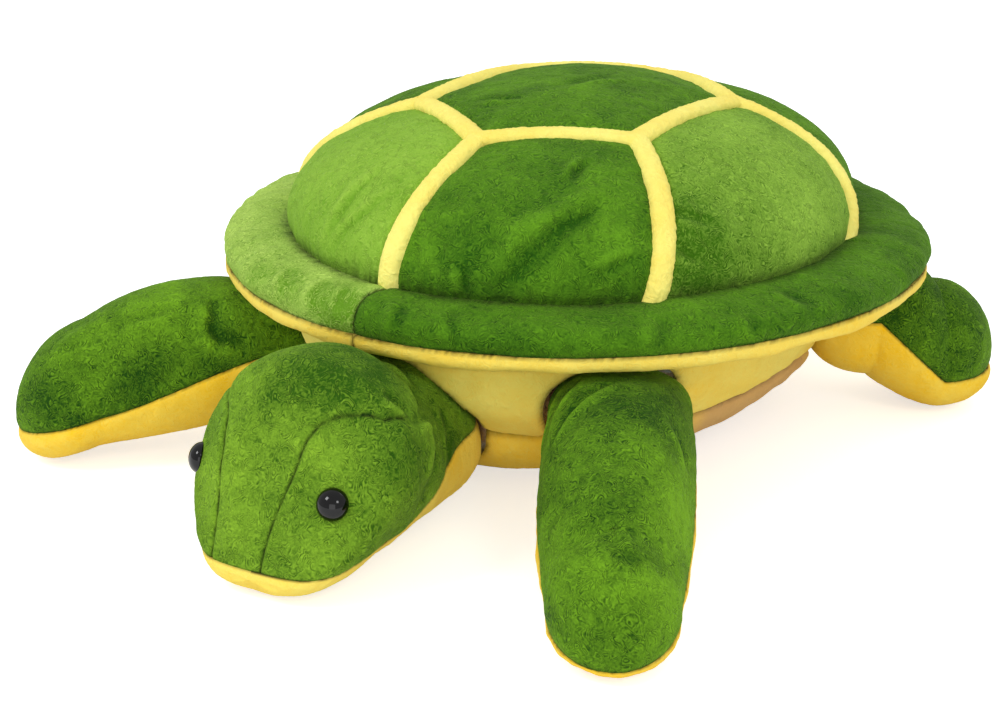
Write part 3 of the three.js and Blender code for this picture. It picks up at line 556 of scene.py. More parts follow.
@dataclass(frozen=True)
class Plastic:
    """Moulded plastic with a faint flow mottle in its gloss."""

    name: str
    colour: int
    roughness: float
    ior: float
    flow: Grain = (420.0, 3.0, 0.4)
    mottle: float = 0.06

    def material(self) -> bpy.types.Material:
        """The finished material."""
        made = bpy.data.materials.new(self.name)
        made.use_nodes = True
        n = Nodes(made.node_tree)
        flow = n.noise(n.add("ShaderNodeTexCoord").outputs["Object"], *self.flow)
        colour = linear(self.colour)
        paler = (*(min(1, channel * 1.25 + 0.002) for channel in colour[:3]), 1)
        shader = made.node_tree.nodes["Principled BSDF"]
        for socket, value in (("Roughness", n.total(n.scaled(flow, self.mottle), self.roughness)),
                              ("Base Color", n.mixed(n.total(flow, 0.5, clamp=True), colour, paler))):
            made.node_tree.links.new(value, shader.inputs[socket])
        shader.inputs["IOR"].default_value = self.ior
        return made


# Covers


# Noises, as pairs of a share and a cell, and distances in millimetres
LUMPS = ((0.8, 46.0), (0.35, 17.0))
FUZZ = ((0.8, 5.0), (1.0, 1.9))
# A slow drift in the painted light and shade.
PAINTED_LIGHT_DRIFT = ((0.25, 60.0),)
# Painted shade along the seams: its base strength and the dashes that break it.
SEAM_SHADE_DASHES = ((0.6, 2.2),)
SEAM_SHADE_BASE = 0.8
FOLD_START = 3.0
WANDER = ((0.5, 16.0),)
WANDER_SEED = 77
WADDING_LUMPS = ((0.4, 14.0),)
WADDING_ROOM = 0.9
LEAST_CLOTH = 0.6
SEAM_CLOTH = 0.5
THICKENING = 4.0
# Painted shade on the inner face of the cloth.
INSIDE_PAINTED_SHADE = 0.9
FAR = 1e3
EDGE_SHARE = 0.001


class Edge(Enum):
    """The free edges of a cover's grid: which parameter is fixed along each, and which of its values."""

    U_START = (0, 0)
    U_END = (0, -1)
    V_START = (1, 0)
    V_END = (1, -1)


def on_edges(*edges: Edge) -> Test:
    """A test of points and their two parameters that is true on some edges of the grid."""
    def held(points: Array, u: Array, v: Array) -> Array:
        """True on one of the edges."""
        fixed = [edge.value for edge in edges]
        return np.any([np.abs((u, v)[axis] + end) < EDGE_SHARE for axis, end in fixed], axis=0)
    return held


def everywhere(points: Array, u: Array, v: Array) -> Array:
    """A test that is true at all points."""
    return np.ones_like(u, bool)


@dataclass
class Crease:
    """A soft fold in the cloth along a line between two places, deep in its middle and gone at its ends."""

    start: Place
    end: Place
    depth: float
    width: float

    def profile(self, points: Array, normals: Array) -> Array:
        """A valley with a ridge beside it: minus the bell of the distance along the cloth from the line,
        plus eight tenths of the bell one and a half widths aside, times a power of the sine of the way
        along. A noise makes the line wander by up to half its width."""
        start, way = np.array(self.start), np.array(self.end) - self.start
        wander = self.width * layered(points, WANDER, WANDER_SEED)
        share = ((points - start) @ way) / (way @ way)
        away = points - start - np.clip(share, 0, 1)[:, None] * way
        away -= normals * (away * normals).sum(1, keepdims=True)
        side = unit(np.cross(way, [0.0, 0.0, 1.0]))
        aside = (np.linalg.norm(away, axis=1) * np.sign(away @ side) + wander) / self.width
        bell = 0.8 * np.exp(-((aside - 1.5) ** 2)) - np.exp(-(aside**2))
        return bell * np.sin(np.pi * np.clip(share, 0, 1)) ** 0.7


@dataclass
class Shade:
    """A soft patch of painted light (above zero) or painted shade (below zero); the belly's tan patches use
    the same bell.
    """

    centre: Place
    radius: float
    change: float

    def value(self, points: Array) -> Array:
        """The change times the bell of the distance from the centre."""
        away = np.linalg.norm(points - np.array(self.centre), axis=1)
        return self.change * np.exp(-((away / self.radius) ** 2))


@dataclass
class Form:
    """A surface given by a formula, and how the wadding fills it.

    held is true where a seam or the floor holds the cloth while it is filled. The cloth is larger than the
    form by growth, and is pressed out by at most about cap millimetres.
    """

    name: str
    surface: Surface
    cells: tuple[int, int]
    middle: Place
    held: Test
    coarse: tuple[int, int]
    cap: float
    growth: float = 0.04
    pressure: float = 3.0
    swell: Array | None = None

    def points(self, cells: tuple[int, int]) -> tuple[Array, Array, Array]:
        """The formula's points on a grid, with their parameters."""
        u, v = parameters(cells)
        return self.surface(u, v), u, v

    def filled(self, cells: tuple[int, int]) -> Array:
        """The grid of points, with what the filling moved them."""
        points = self.points(cells)[0]
        if self.swell is None:
            return points
        return points + upsample(self.swell, cells[0] + 1, cells[1] + 1)


@dataclass(frozen=True)
class Stuffing:
    """Fills all the forms in one cloth simulation: each cover is a little larger than its form, held at its
    seams, and pressed outwards from inside. rounds says how often the result is averaged."""

    frames: int = 16
    rounds: int = 5
    quality: int = 6
    mass: float = 0.15
    stretch_stiffness: float = 12.0
    shear_stiffness: float = 6.0
    bending_stiffness: float = 0.35

    def cloth(self, form: Form) -> tuple[bpy.types.Object, Array, Array, Array]:
        """A simulated sheet for a form, with its triangles, where it is held, and the number of each grid
        point in it."""
        points, u, v = form.points(form.coarse)
        flat = points.reshape(-1, 3)
        held = form.held(points, u, v).reshape(-1)
        rows, faces, number = weld(np.column_stack([flat, held]), grid_faces(*form.coarse))
        faces = facing_out(rows[:, :3], faces, np.array(form.middle))
        mesh = bpy.data.meshes.new("stuffing_" + form.name)
        mesh.from_pydata((rows[:, :3] * METRES).tolist(), [], faces.tolist())
        sheet = bpy.data.objects.new(mesh.name, mesh)
        bpy.context.scene.collection.objects.link(sheet)
        group = sheet.vertex_groups.new(name="held")
        group.add(np.flatnonzero(rows[:, 3] > 0.5).tolist(), 1.0, "REPLACE")
        cloth = sheet.modifiers.new("cloth", "CLOTH")
        settings = cloth.settings
        settings.quality = self.quality
        settings.mass = self.mass
        settings.tension_stiffness = settings.compression_stiffness = self.stretch_stiffness
        settings.shear_stiffness = self.shear_stiffness
        settings.bending_stiffness = self.bending_stiffness
        settings.vertex_group_mass = "held"
        settings.use_pressure = True
        settings.uniform_pressure_force = form.pressure
        settings.shrink_min = -form.growth
        settings.effector_weights.gravity = 0
        cloth.point_cache.frame_start = 1
        cloth.point_cache.frame_end = self.frames
        return sheet, faces, rows[:, 3] > 0.5, number

    def fill(self, forms: list[Form]) -> None:
        """Runs the simulation and keeps how far each grid point moved outwards in its form: levelled off
        at the cap by a hyperbolic tangent, and spread over the neighbours."""
        scene = bpy.context.scene
        sheets = [(form, *self.cloth(form)) for form in forms]
        scene.frame_start, scene.frame_end = 1, self.frames
        for step in range(1, self.frames + 1):
            scene.frame_set(step)
        graph = bpy.context.evaluated_depsgraph_get()
        for form, sheet, faces, held, number in sheets:
            filled = sheet.evaluated_get(graph)
            before, after = (self.coordinates(mesh) for mesh in (sheet.data, filled.data))
            normals = vertex_normals(before, faces)
            outwards = ((after - before) * normals).sum(1)
            swell = spread(form.cap * np.tanh(outwards / form.cap), faces, held, self.rounds)
            rows, columns = form.coarse
            form.swell = (normals * swell[:, None])[number].reshape(rows + 1, columns + 1, 3)
            LOG.info("filled %s: %.1f to %.1f mm outwards", form.name, swell.min(), swell.max())
            bpy.data.objects.remove(sheet)
        scene.frame_set(1)

    @staticmethod
    def coordinates(mesh: bpy.types.Mesh) -> Array:
        """A mesh's points in millimetres."""
        flat = np.empty(len(mesh.vertices) * 3)
        mesh.vertices.foreach_get("co", flat)
        return flat.reshape(-1, 3) / METRES


def make_object(name: str, points: Array, faces: Array, material: bpy.types.Material,
                attributes: dict[str, Array], sharp: Array | None = None) -> bpy.types.Object:
    """An object at the origin from points in millimetres.

    Args:
        name: of the object and its mesh.
        points: in millimetres.
        faces: triangles of point numbers.
        material: its finish.
        attributes: numbers or vectors, one for each point.
        sharp: pairs of points whose edges aren't shaded smooth.

    Returns:
        The object, shaded smooth elsewhere.
    """
    mesh = bpy.data.meshes.new(name)
    mesh.vertices.add(len(points))
    mesh.vertices.foreach_set("co", (points * METRES).ravel().astype(np.float32))
    mesh.loops.add(faces.size)
    mesh.loops.foreach_set("vertex_index", faces.ravel().astype(np.int32))
    mesh.polygons.add(len(faces))
    mesh.polygons.foreach_set("loop_start", np.arange(0, faces.size, 3, dtype=np.int32))
    mesh.update(calc_edges=True)
    mesh.validate()
    mesh.polygons.foreach_set("use_smooth", np.ones(len(mesh.polygons), bool))
    for label, values in attributes.items():
        vector = values.ndim == 2
        layer = mesh.attributes.new(label, "FLOAT_VECTOR" if vector else "FLOAT", "POINT")
        layer.data.foreach_set("vector" if vector else "value", values.ravel().astype(np.float32))
    if sharp is not None:
        ends = np.empty(2 * len(mesh.edges), np.int32)
        mesh.edges.foreach_get("vertices", ends)
        low, high = np.sort(ends.reshape(-1, 2).astype(np.int64), axis=1).T
        wanted = np.sort(sharp.astype(np.int64), axis=1)
        found = np.isin(low * len(points) + high, wanted[:, 0] * len(points) + wanted[:, 1])
        mesh.attributes.new("sharp_edge", "BOOLEAN", "EDGE").data.foreach_set("value", found)
    mesh.materials.append(material)
    made = bpy.data.objects.new(name, mesh)
    bpy.context.scene.collection.objects.link(made)
    return made


@dataclass
class Cover:
    """One sewn panel: a form, the edges and lines that it is sewn along, and its surface detail.

    A tucked edge runs under another piece, so it isn't rolled in but lies in that piece's shadow. Lumps are
    the unevenness of the wadding and fuzz that of the pile. padded is how tightly the piece is filled where
    no other piece is its wadding.
    """

    name: str
    body: str
    pile: Pile
    form: Form
    sewn: tuple[Edge, ...] = ()
    tucked: tuple[Edge, ...] = ()
    lines: tuple[Line, ...] = ()
    creases: Creases = ()
    shades: Shades = ()
    tan_patches: Shades = ()
    draw: Draw = Draw()
    pucker_cell: float = 11.0
    shadow: float = 1.6
    lumps: float = 0.9
    fuzz: float = 0.16
    # Painted light above zero and painted shade below zero, all over the piece.
    painted_light: float = 0.0
    thickness: float = 2.2
    floor: bool = False
    seed: int = 1
    padded: float | None = None

    def columns(self) -> tuple[Array, Array]:
        """The filled grid, welded and cut, with each point's place, normal, and for each sewn edge its
        distance along the cloth and the place of the edge opposite it."""
        grid = self.form.filled(self.form.cells)
        steps = [np.linalg.norm(np.diff(grid, axis=axis), axis=-1) for axis in (0, 1)]
        pieces = [grid.reshape(-1, 3)]
        for axis, end in (edge.value for edge in self.sewn):
            run = np.insert(np.cumsum(steps[axis], axis=axis), 0, 0, axis=axis)
            away = np.abs(run - np.take(run, [end], axis=axis))
            foot = np.take(grid, [end], axis=axis)
            pieces += [away.reshape(-1, 1), np.broadcast_to(foot, grid.shape).reshape(-1, 3)]
        rows, faces, _ = weld(np.column_stack(pieces), grid_faces(*self.form.cells))
        faces = facing_out(rows[:, :3], faces, np.array(self.form.middle))
        normals = vertex_normals(rows[:, :3], faces)
        rows = np.column_stack([rows[:, :3], normals, rows[:, 3:]])
        for line in self.lines:
            rows, faces = cut(rows, faces, line.value(rows[:, :3]))
        return rows, faces

    def seams(self, rows: Array) -> list[tuple[Draw, Array, Array, Array]]:
        """How each seam draws the cloth in, with every point's distance from it, what changes along it only,
        and its strength there."""
        points, whole = rows[:, :3], np.ones(len(rows))
        # A tucked edge isn't rolled in and gets painted shadow as wide as shadow.
        tuck = replace(self.draw, roll=0.0, seam_shade_width=self.shadow)
        edges = [(tuck if edge in self.tucked else self.draw, rows[:, k], rows[:, k + 1:k + 4], whole)
                 for edge, k in zip(self.sewn, range(6, rows.shape[1], 4))]
        return edges + [(line.draw, np.abs(line.value(points)), line.along(points), line.strength(points))
                        for line in self.lines]

    def lift(self, rows: Array) -> tuple[Array, Array, Array, Array]:
        """How far each point stands off the filled form, its distance from the nearest seam, the painted
        shade that the seam's groove gives it and how deep its hem goes: rolled in at each seam by a square
        law, drawn into folds that run from the seam and fade by the exponential of the distance, and uneven
        with the wadding."""
        points = rows[:, :3]
        lift = self.lumps * layered(points, LUMPS, self.seed)
        lift += self.fuzz * layered(points, FUZZ, self.seed + 2)
        folding = ((1.0, self.pucker_cell), (0.5, self.pucker_cell / 2))
        nearest, painted_seam_shade, depth = (np.full(len(points), start) for start in (FAR, 0.0, 0.0))
        for draw, away, along, strength in self.seams(rows):
            folds = layered(along, folding, self.seed + 4) * np.exp(-away / draw.reach)
            lift += strength * draw.pucker * folds * np.minimum(away / FOLD_START, 1)
            lift -= strength * draw.roll * (1 - np.clip(away / draw.width, 0, 1)) ** 2
            # Painted shade in the seam's groove, broken into dashes.
            shade_dashes = SEAM_SHADE_BASE + layered(along, SEAM_SHADE_DASHES, self.seed + 8)
            painted_seam_shade = np.maximum(painted_seam_shade, strength * shade_dashes * np.exp(-((away / draw.seam_shade_width) ** 2)))
            depth = np.maximum(depth, draw.hem * np.exp(-away))
            nearest = np.minimum(nearest, away)
        return lift, nearest, painted_seam_shade, depth

    def build(self) -> bpy.types.Object:
        """The finished panel, riding on its body in place of its solid. The cloth is half as thick at a seam
        as it is farther in, and never thinner than the least."""
        rows, faces = self.columns()
        lift, nearest, painted_seam_shade, depth = self.lift(rows)
        points, normals = rows[:, :3], rows[:, 3:6]
        nothing = np.zeros(len(points))
        # Painted light and shade: the piece's level, its patches and a slow drift.
        painted_light = self.painted_light + sum((shade.value(points) for shade in self.shades), nothing)
        painted_light += layered(points, PAINTED_LIGHT_DRIFT, self.seed + 6)
        for crease in self.creases:
            fold = crease.profile(points, normals)
            lift += crease.depth * fold
            # Painted shade in the crease's valley and painted light on its ridge.
            painted_light += min(1, crease.depth / 2) * fold
        outer = points + normals * lift[:, None]
        if self.floor:
            outer[:, 2] = np.maximum(outer[:, 2], 0)
        cloth = self.thickness * np.clip(SEAM_CLOTH + nearest / THICKENING, 0, 1)
        inner = points - normals * (cloth + depth)[:, None]
        sunk = (lift < LEAST_CLOTH - self.thickness)[:, None]
        inner = np.where(sunk, outer - normals * (LEAST_CLOTH + depth)[:, None], inner)
        # How far the piece turns tan, from its tan patches.
        lining = np.clip(sum((shade.value(points) for shade in self.tan_patches), nothing), 0, 1)
        vertices, triangles, rims = closed_cloth(outer, inner, faces)
        # The 'crease' attribute carries the painted seam shade outside and painted shade on the inner face.
        made = make_object(self.name + "_cloth", vertices, triangles, self.pile.value.material(), {
            "rest": vertices * METRES, "painted_light": np.tile(painted_light, 2),
            "crease": np.concatenate([painted_seam_shade, INSIDE_PAINTED_SHADE + nothing]), "lining": np.tile(lining, 2),
        }, rims)
        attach(made, self.body)
        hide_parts(self.name)
        LOG.info("%s: %d triangles", made.name, len(triangles))
        return made


def wadding(name: str, body: str, surface: Surface, cells: tuple[int, int],
            hollows: tuple[Hollow, ...] = ()) -> bpy.types.Object:
    """The loose fibre inside a cover, one lumpy closed piece in place of its solid.

    Args:
        name: the solid that it stands for.
        body: what it rides on.
        surface: closed, of two parameters from 0 to 1.
        cells: of its grid.
        hollows: where limbs turn in it. Their walls show the cloth that lines them.

    Returns:
        The piece.
    """
    points, faces, _ = weld(surface(*parameters(cells)).reshape(-1, 3), grid_faces(*cells))
    faces = facing_out(points, faces, np.zeros(3))
    normals = vertex_normals(points, faces)
    points = points + normals * (layered(points, WADDING_LUMPS, 5) - WADDING_ROOM)[:, None]
    nothing = np.zeros(len(points))
    lining = nothing
    for hollow in hollows:
        pushed = hollow.pushed_out(points, -normals)
        lining = np.maximum(lining, np.linalg.norm(pushed - points, axis=1) > 0)
        points = pushed
    made = make_object(name + "_fibre", points, faces, Pile.WADDING.value.material(), {
        "rest": points * METRES, "painted_light": nothing, "crease": nothing, "lining": lining,
    })
    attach(made, body)
    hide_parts(name)
    return made


# Shell


@dataclass
class Shell:
    """The quilted dome: a six-sided crown panel in a band, six panels between six strips."""

    half_width: float = 156.0
    half_length: float = 168.0
    centre_y: float = -2.5
    foot: float = 121.0
    rise: float = 71.0
    puff: float = 4.2
    band_width: float = 10.5
    band_proud: float = 5.0
    band_over: float = 1.3
    gap: float = 0.3
    sunk: float = 1.4
    rounding: float = 0.03
    tuck: float = 2.0
    inset: float = 5.1
    ledge_inset: float = 1.0
    ledge: float = 89.0
    before: float = -0.04
    beyond: float = 1.09
    corner_shares: Pairs = (
        (0, -0.557), (0.449, -0.295), (0.449, 0.324), (0, 0.622), (-0.449, 0.324), (-0.449, -0.295),
    )
    foot_degrees: tuple[float, ...] = (-91, -40, 16, 90, 155, 203)
    # Panels alternate painted shade and painted light, all one green plush.
    piles: tuple[Pile, ...] = (Pile.DARK, Pile.MIDDLE, Pile.DARK, Pile.LIGHT, Pile.DARK, Pile.LIGHT)
    creases: tuple[Creases, ...] = (
        (Crease((88, -104, 164), (54, -162, 123), 3.6, 5.5),
         Crease((64, -88, 176), (66, -110, 170), 2.4, 2.6),
         Crease((110, -114, 140), (96, -134, 134), 1.5, 3.0),
         Crease((38, -160, 134), (42, -166, 122), 2.0, 3.0),
         Crease((20, -150, 146), (34, -166, 128), 1.0, 4.0)),
        (Crease((111, -84, 157), (130, -73, 149), 1.5, 3.0),
         Crease((117, -96, 144), (134, -84, 134), 1.7, 3.2)),
        (), (), (),
        (Crease((-34, -128, 167), (-51, -162, 125), 1.6, 2.8),
         Crease((-14, -143, 160), (-48, -164, 126), 1.3, 2.6)),
    )
    crown_creases: Creases = (
        Crease((-30, -56, 188), (-2, -46, 191), 1.5, 3.2), Crease((2, -30, 193), (18, 14, 194), 1.2, 4.0),
    )
    shades: tuple[Shades, ...] = (
        (Shade((100, -110, 150), 26, 0.2), Shade((62, -90, 175), 16, -0.3),
         Shade((45, -160, 135), 22, -0.4), Shade((83, -142, 136), 20, -0.3)),
        (Shade((128, -88, 140), 30, -1.2), Shade((110, -11, 173), 40, 0.4),
         Shade((148, -12, 147), 30, 0.4)),
        (), (), (), (Shade((-52, -110, 172), 34, 0.2), Shade((-36, -155, 140), 22, -0.4)),
    )

    def point(self, tilt: Array, bearing: Array, lift: Array = 0.0) -> Array:
        """A place on the dome: an ellipsoid by its tilt from the crown and its bearing, straight down beyond
        its foot."""
        lean = np.minimum(tilt, QUARTER)
        return stack(
            (self.half_width + lift) * np.sin(lean) * np.cos(bearing),
            self.centre_y + (self.half_length + lift) * np.sin(lean) * np.sin(bearing),
            self.foot + (self.rise + lift) * np.cos(lean) - self.rise * (tilt - lean),
        )

    def angles(self, x: Array, y: Array) -> tuple[Array, Array]:
        """The tilt and bearing above a place in plan, by the arcsine of its scaled radius and the
        arctangent."""
        across, along = x / self.half_width, (y - self.centre_y) / self.half_length
        return np.arcsin(np.minimum(1, np.hypot(across, along))), np.arctan2(along, across)

    def outline(self, outwards: float) -> Array:
        """The crown's six corners with every side moved outwards and the corners mitred."""
        corners = np.array(self.corner_shares) * (self.half_width, self.half_length) + (0, self.centre_y)
        before = unit(corners - np.roll(corners, 1, axis=0))
        normals = np.stack([before[:, 1], -before[:, 0]], 1)
        after = np.roll(normals, -1, axis=0)
        middle = unit(normals + after)
        return corners + middle * outwards / (middle * normals).sum(1, keepdims=True)

    @staticmethod
    def along(outline: Array, u: Array, rounding: float = 0.0) -> Array:
        """A place on an outline with u once round it, its corners eased by a share of each side."""
        place = u * len(outline)
        side = np.floor(place).astype(int) % len(outline)
        share = (place - np.floor(place))[..., None]
        straight = lerp(outline[side], outline[(side + 1) % len(outline)], share)
        if not rounding:
            return straight
        shift = rounding / len(outline)
        return (sum(Shell.along(outline, (u + way) % 1) for way in (shift, -shift)) + 2 * straight) / 4

    def strip_angles(self, i: int, t: Array) -> tuple[Array, Array]:
        """Where strip i runs: the tilt and bearing go evenly from its corner to its foot."""
        corner = self.outline(self.band_width / 2 + self.gap)[i]
        tilt, bearing = self.angles(*corner)
        foot = np.radians(self.foot_degrees[i])
        bearing = bearing + np.round((foot - bearing) / TURN) * TURN
        return lerp(tilt, QUARTER, t), lerp(bearing, foot, t)

    def strip_frame(self, i: int, t: Array) -> tuple[Array, Array, Array]:
        """A strip's place at t, its direction out of the cloth and its direction across."""
        step = 0.01
        place = self.point(*self.strip_angles(i, t))
        along = unit(self.point(*self.strip_angles(i, t + step)) - place)
        out = self.point(*self.strip_angles(i, t), 3.0) - place
        out = unit(out - along * (out * along).sum(-1, keepdims=True))
        return place, out, unit(np.cross(out, along))

    def between(self, i: int, s: Array, t: Array, lift: Array = 0.0) -> Array:
        """A place between strips i and i + 1, s of the way across and t of the way down."""
        after = (i + 1) % 6
        corners = self.outline(self.band_width / 2 + self.gap)
        side = lerp(corners[i], corners[after], np.asarray(s)[..., None])
        tilt, _ = self.angles(side[..., 0], side[..., 1])
        left, right = self.strip_angles(i, t)[1], self.strip_angles(after, t)[1]
        right = np.where(right < left, right + TURN, right)
        return self.point(lerp(tilt, QUARTER, t), lerp(left, right, s), lift)

    def strip_share(self, i: int, edge: int, t: Array) -> Array:
        """The share of a panel's width that the strip on one of its edges takes up."""
        across = self.strip_frame((i + edge) % 6, t)[2]
        ones = np.ones_like(t)
        width = np.linalg.norm(self.between(i, ones, t) - self.between(i, 0 * ones, t), axis=-1)
        aside = unit(self.between(i, ones * abs(edge - 0.05), t) - self.between(i, ones * edge, t))
        return (self.band_width / 2 - self.tuck) / (width * np.abs((aside * across).sum(-1)))

    def panel(self, i: int) -> Surface:
        """The surface of panel i: the dome, raised by the 0.6 power of the product of two sines."""
        def surface(u: Array, v: Array) -> Array:
            """A point of the panel."""
            t = lerp(self.before, self.beyond, v)
            s = lerp(self.strip_share(i, 0, t), 1 - self.strip_share(i, 1, t), u)
            bulge = np.maximum(np.sin(np.pi * u) * np.sin(np.pi * np.clip(t, 0, 1)), 0) ** 0.6
            return self.between(i, s, t, self.puff * bulge)
        return surface

    def crown(self, u: Array, v: Array) -> Array:
        """The crown panel: from its middle to the outline, raised by one less the square of the share."""
        outline = self.outline(-self.band_width / 2 + self.tuck)
        place = lerp(outline.mean(0), self.along(outline, u), v[..., None])
        return self.point(*self.angles(place[..., 0], place[..., 1]), self.puff * (1 - v**2))

    def roundness(self, aside: Array) -> Array:
        """How far a strip stands out at a share of its half width: a root of one less the share's power,
        with the edges sunk between the panels."""
        section = np.sqrt(np.maximum(0, 1 - np.abs(aside) ** 2.4))
        return (self.band_proud + self.sunk) * section - self.sunk

    def band(self, u: Array, v: Array) -> Array:
        """The band: from its inner to its outer outline, raised by its round section."""
        half = self.band_width / 2 + self.band_over
        inner, outer = self.outline(-half), self.outline(half)
        place = lerp(*(self.along(outline, u, self.rounding) for outline in (inner, outer)), v[..., None])
        return self.point(*self.angles(place[..., 0], place[..., 1]), self.roundness(2 * v - 1))

    def strip(self, i: int) -> Surface:
        """The surface of strip i: its round section, carried down the dome."""
        def surface(u: Array, v: Array) -> Array:
            """A point of the strip."""
            place, out, across = self.strip_frame(i, lerp(self.before, self.beyond, u))
            aside = (2 * v - 1)[..., None]
            half = self.band_width / 2 + self.band_over
            return place + across * aside * half + out * self.roundness(aside)
        return surface

    def fibre(self, u: Array, v: Array) -> Array:
        """The dome inset over seven tenths of v, then down the ledge to the rim's underside, and in to the
        middle over the last tenth."""
        dome = self.point(np.minimum(v / 0.7, 1) * QUARTER, u * TURN, -self.inset)
        ledge = self.point(QUARTER, u * TURN, -self.ledge_inset)
        low = np.where(v < 0.75, self.foot - self.ledge_inset, self.ledge)
        share = np.clip((1 - v) / 0.1, 0, 1)
        skirt = stack(ledge[..., 0] * share, self.centre_y + (ledge[..., 1] - self.centre_y) * share, low)
        return np.where((v <= 0.7)[..., None], dome, skirt)

    def covers(self) -> list[Cover]:
        """All the shell's sewn pieces."""
        middle = (0.0, 0.0, 60.0)
        # The yellow band and strips get painted light.
        yellow = {"lumps": 0.35, "fuzz": 0.38, "painted_light": 0.6, "padded": 0.9}
        crown = Form("crown", self.crown, (240, 52), middle, on_edges(Edge.V_END), coarse=(60, 14), cap=1.5)
        band = Form("band", self.band, (780, 22), middle, everywhere, coarse=(60, 4), cap=0.5)
        made = [
            # The crown gets a little painted shade.
            Cover("shell_top_panel", "body", Pile.DARK, crown, sewn=(Edge.V_END,), seed=3, painted_light=-0.1,
                  creases=self.crown_creases),
            Cover("shell_crown_band", "body", Pile.YELLOW, band, seed=4, **yellow),
        ]
        for i in range(6):
            panel = Form(f"panel_{i + 1}", self.panel(i), (120, 100), middle, on_edges(*Edge),
                         coarse=(32, 26), cap=2.0)
            strip = Form(f"strip_{i + 1}", self.strip(i), (160, 22), middle, everywhere,
                         coarse=(30, 4), cap=0.5)
            made += [
                Cover(f"shell_panel_{i + 1}", "body", self.piles[i], panel, sewn=tuple(Edge),
                      tucked=(Edge.V_END,), draw=Draw(roll=2.0), shadow=10.0, seed=10 + 7 * i,
                      creases=self.creases[i], shades=self.shades[i]),
                Cover(f"shell_strip_{i + 1}", "body", Pile.YELLOW, strip, seed=60 + i, **yellow),
            ]
        return made


# Rim


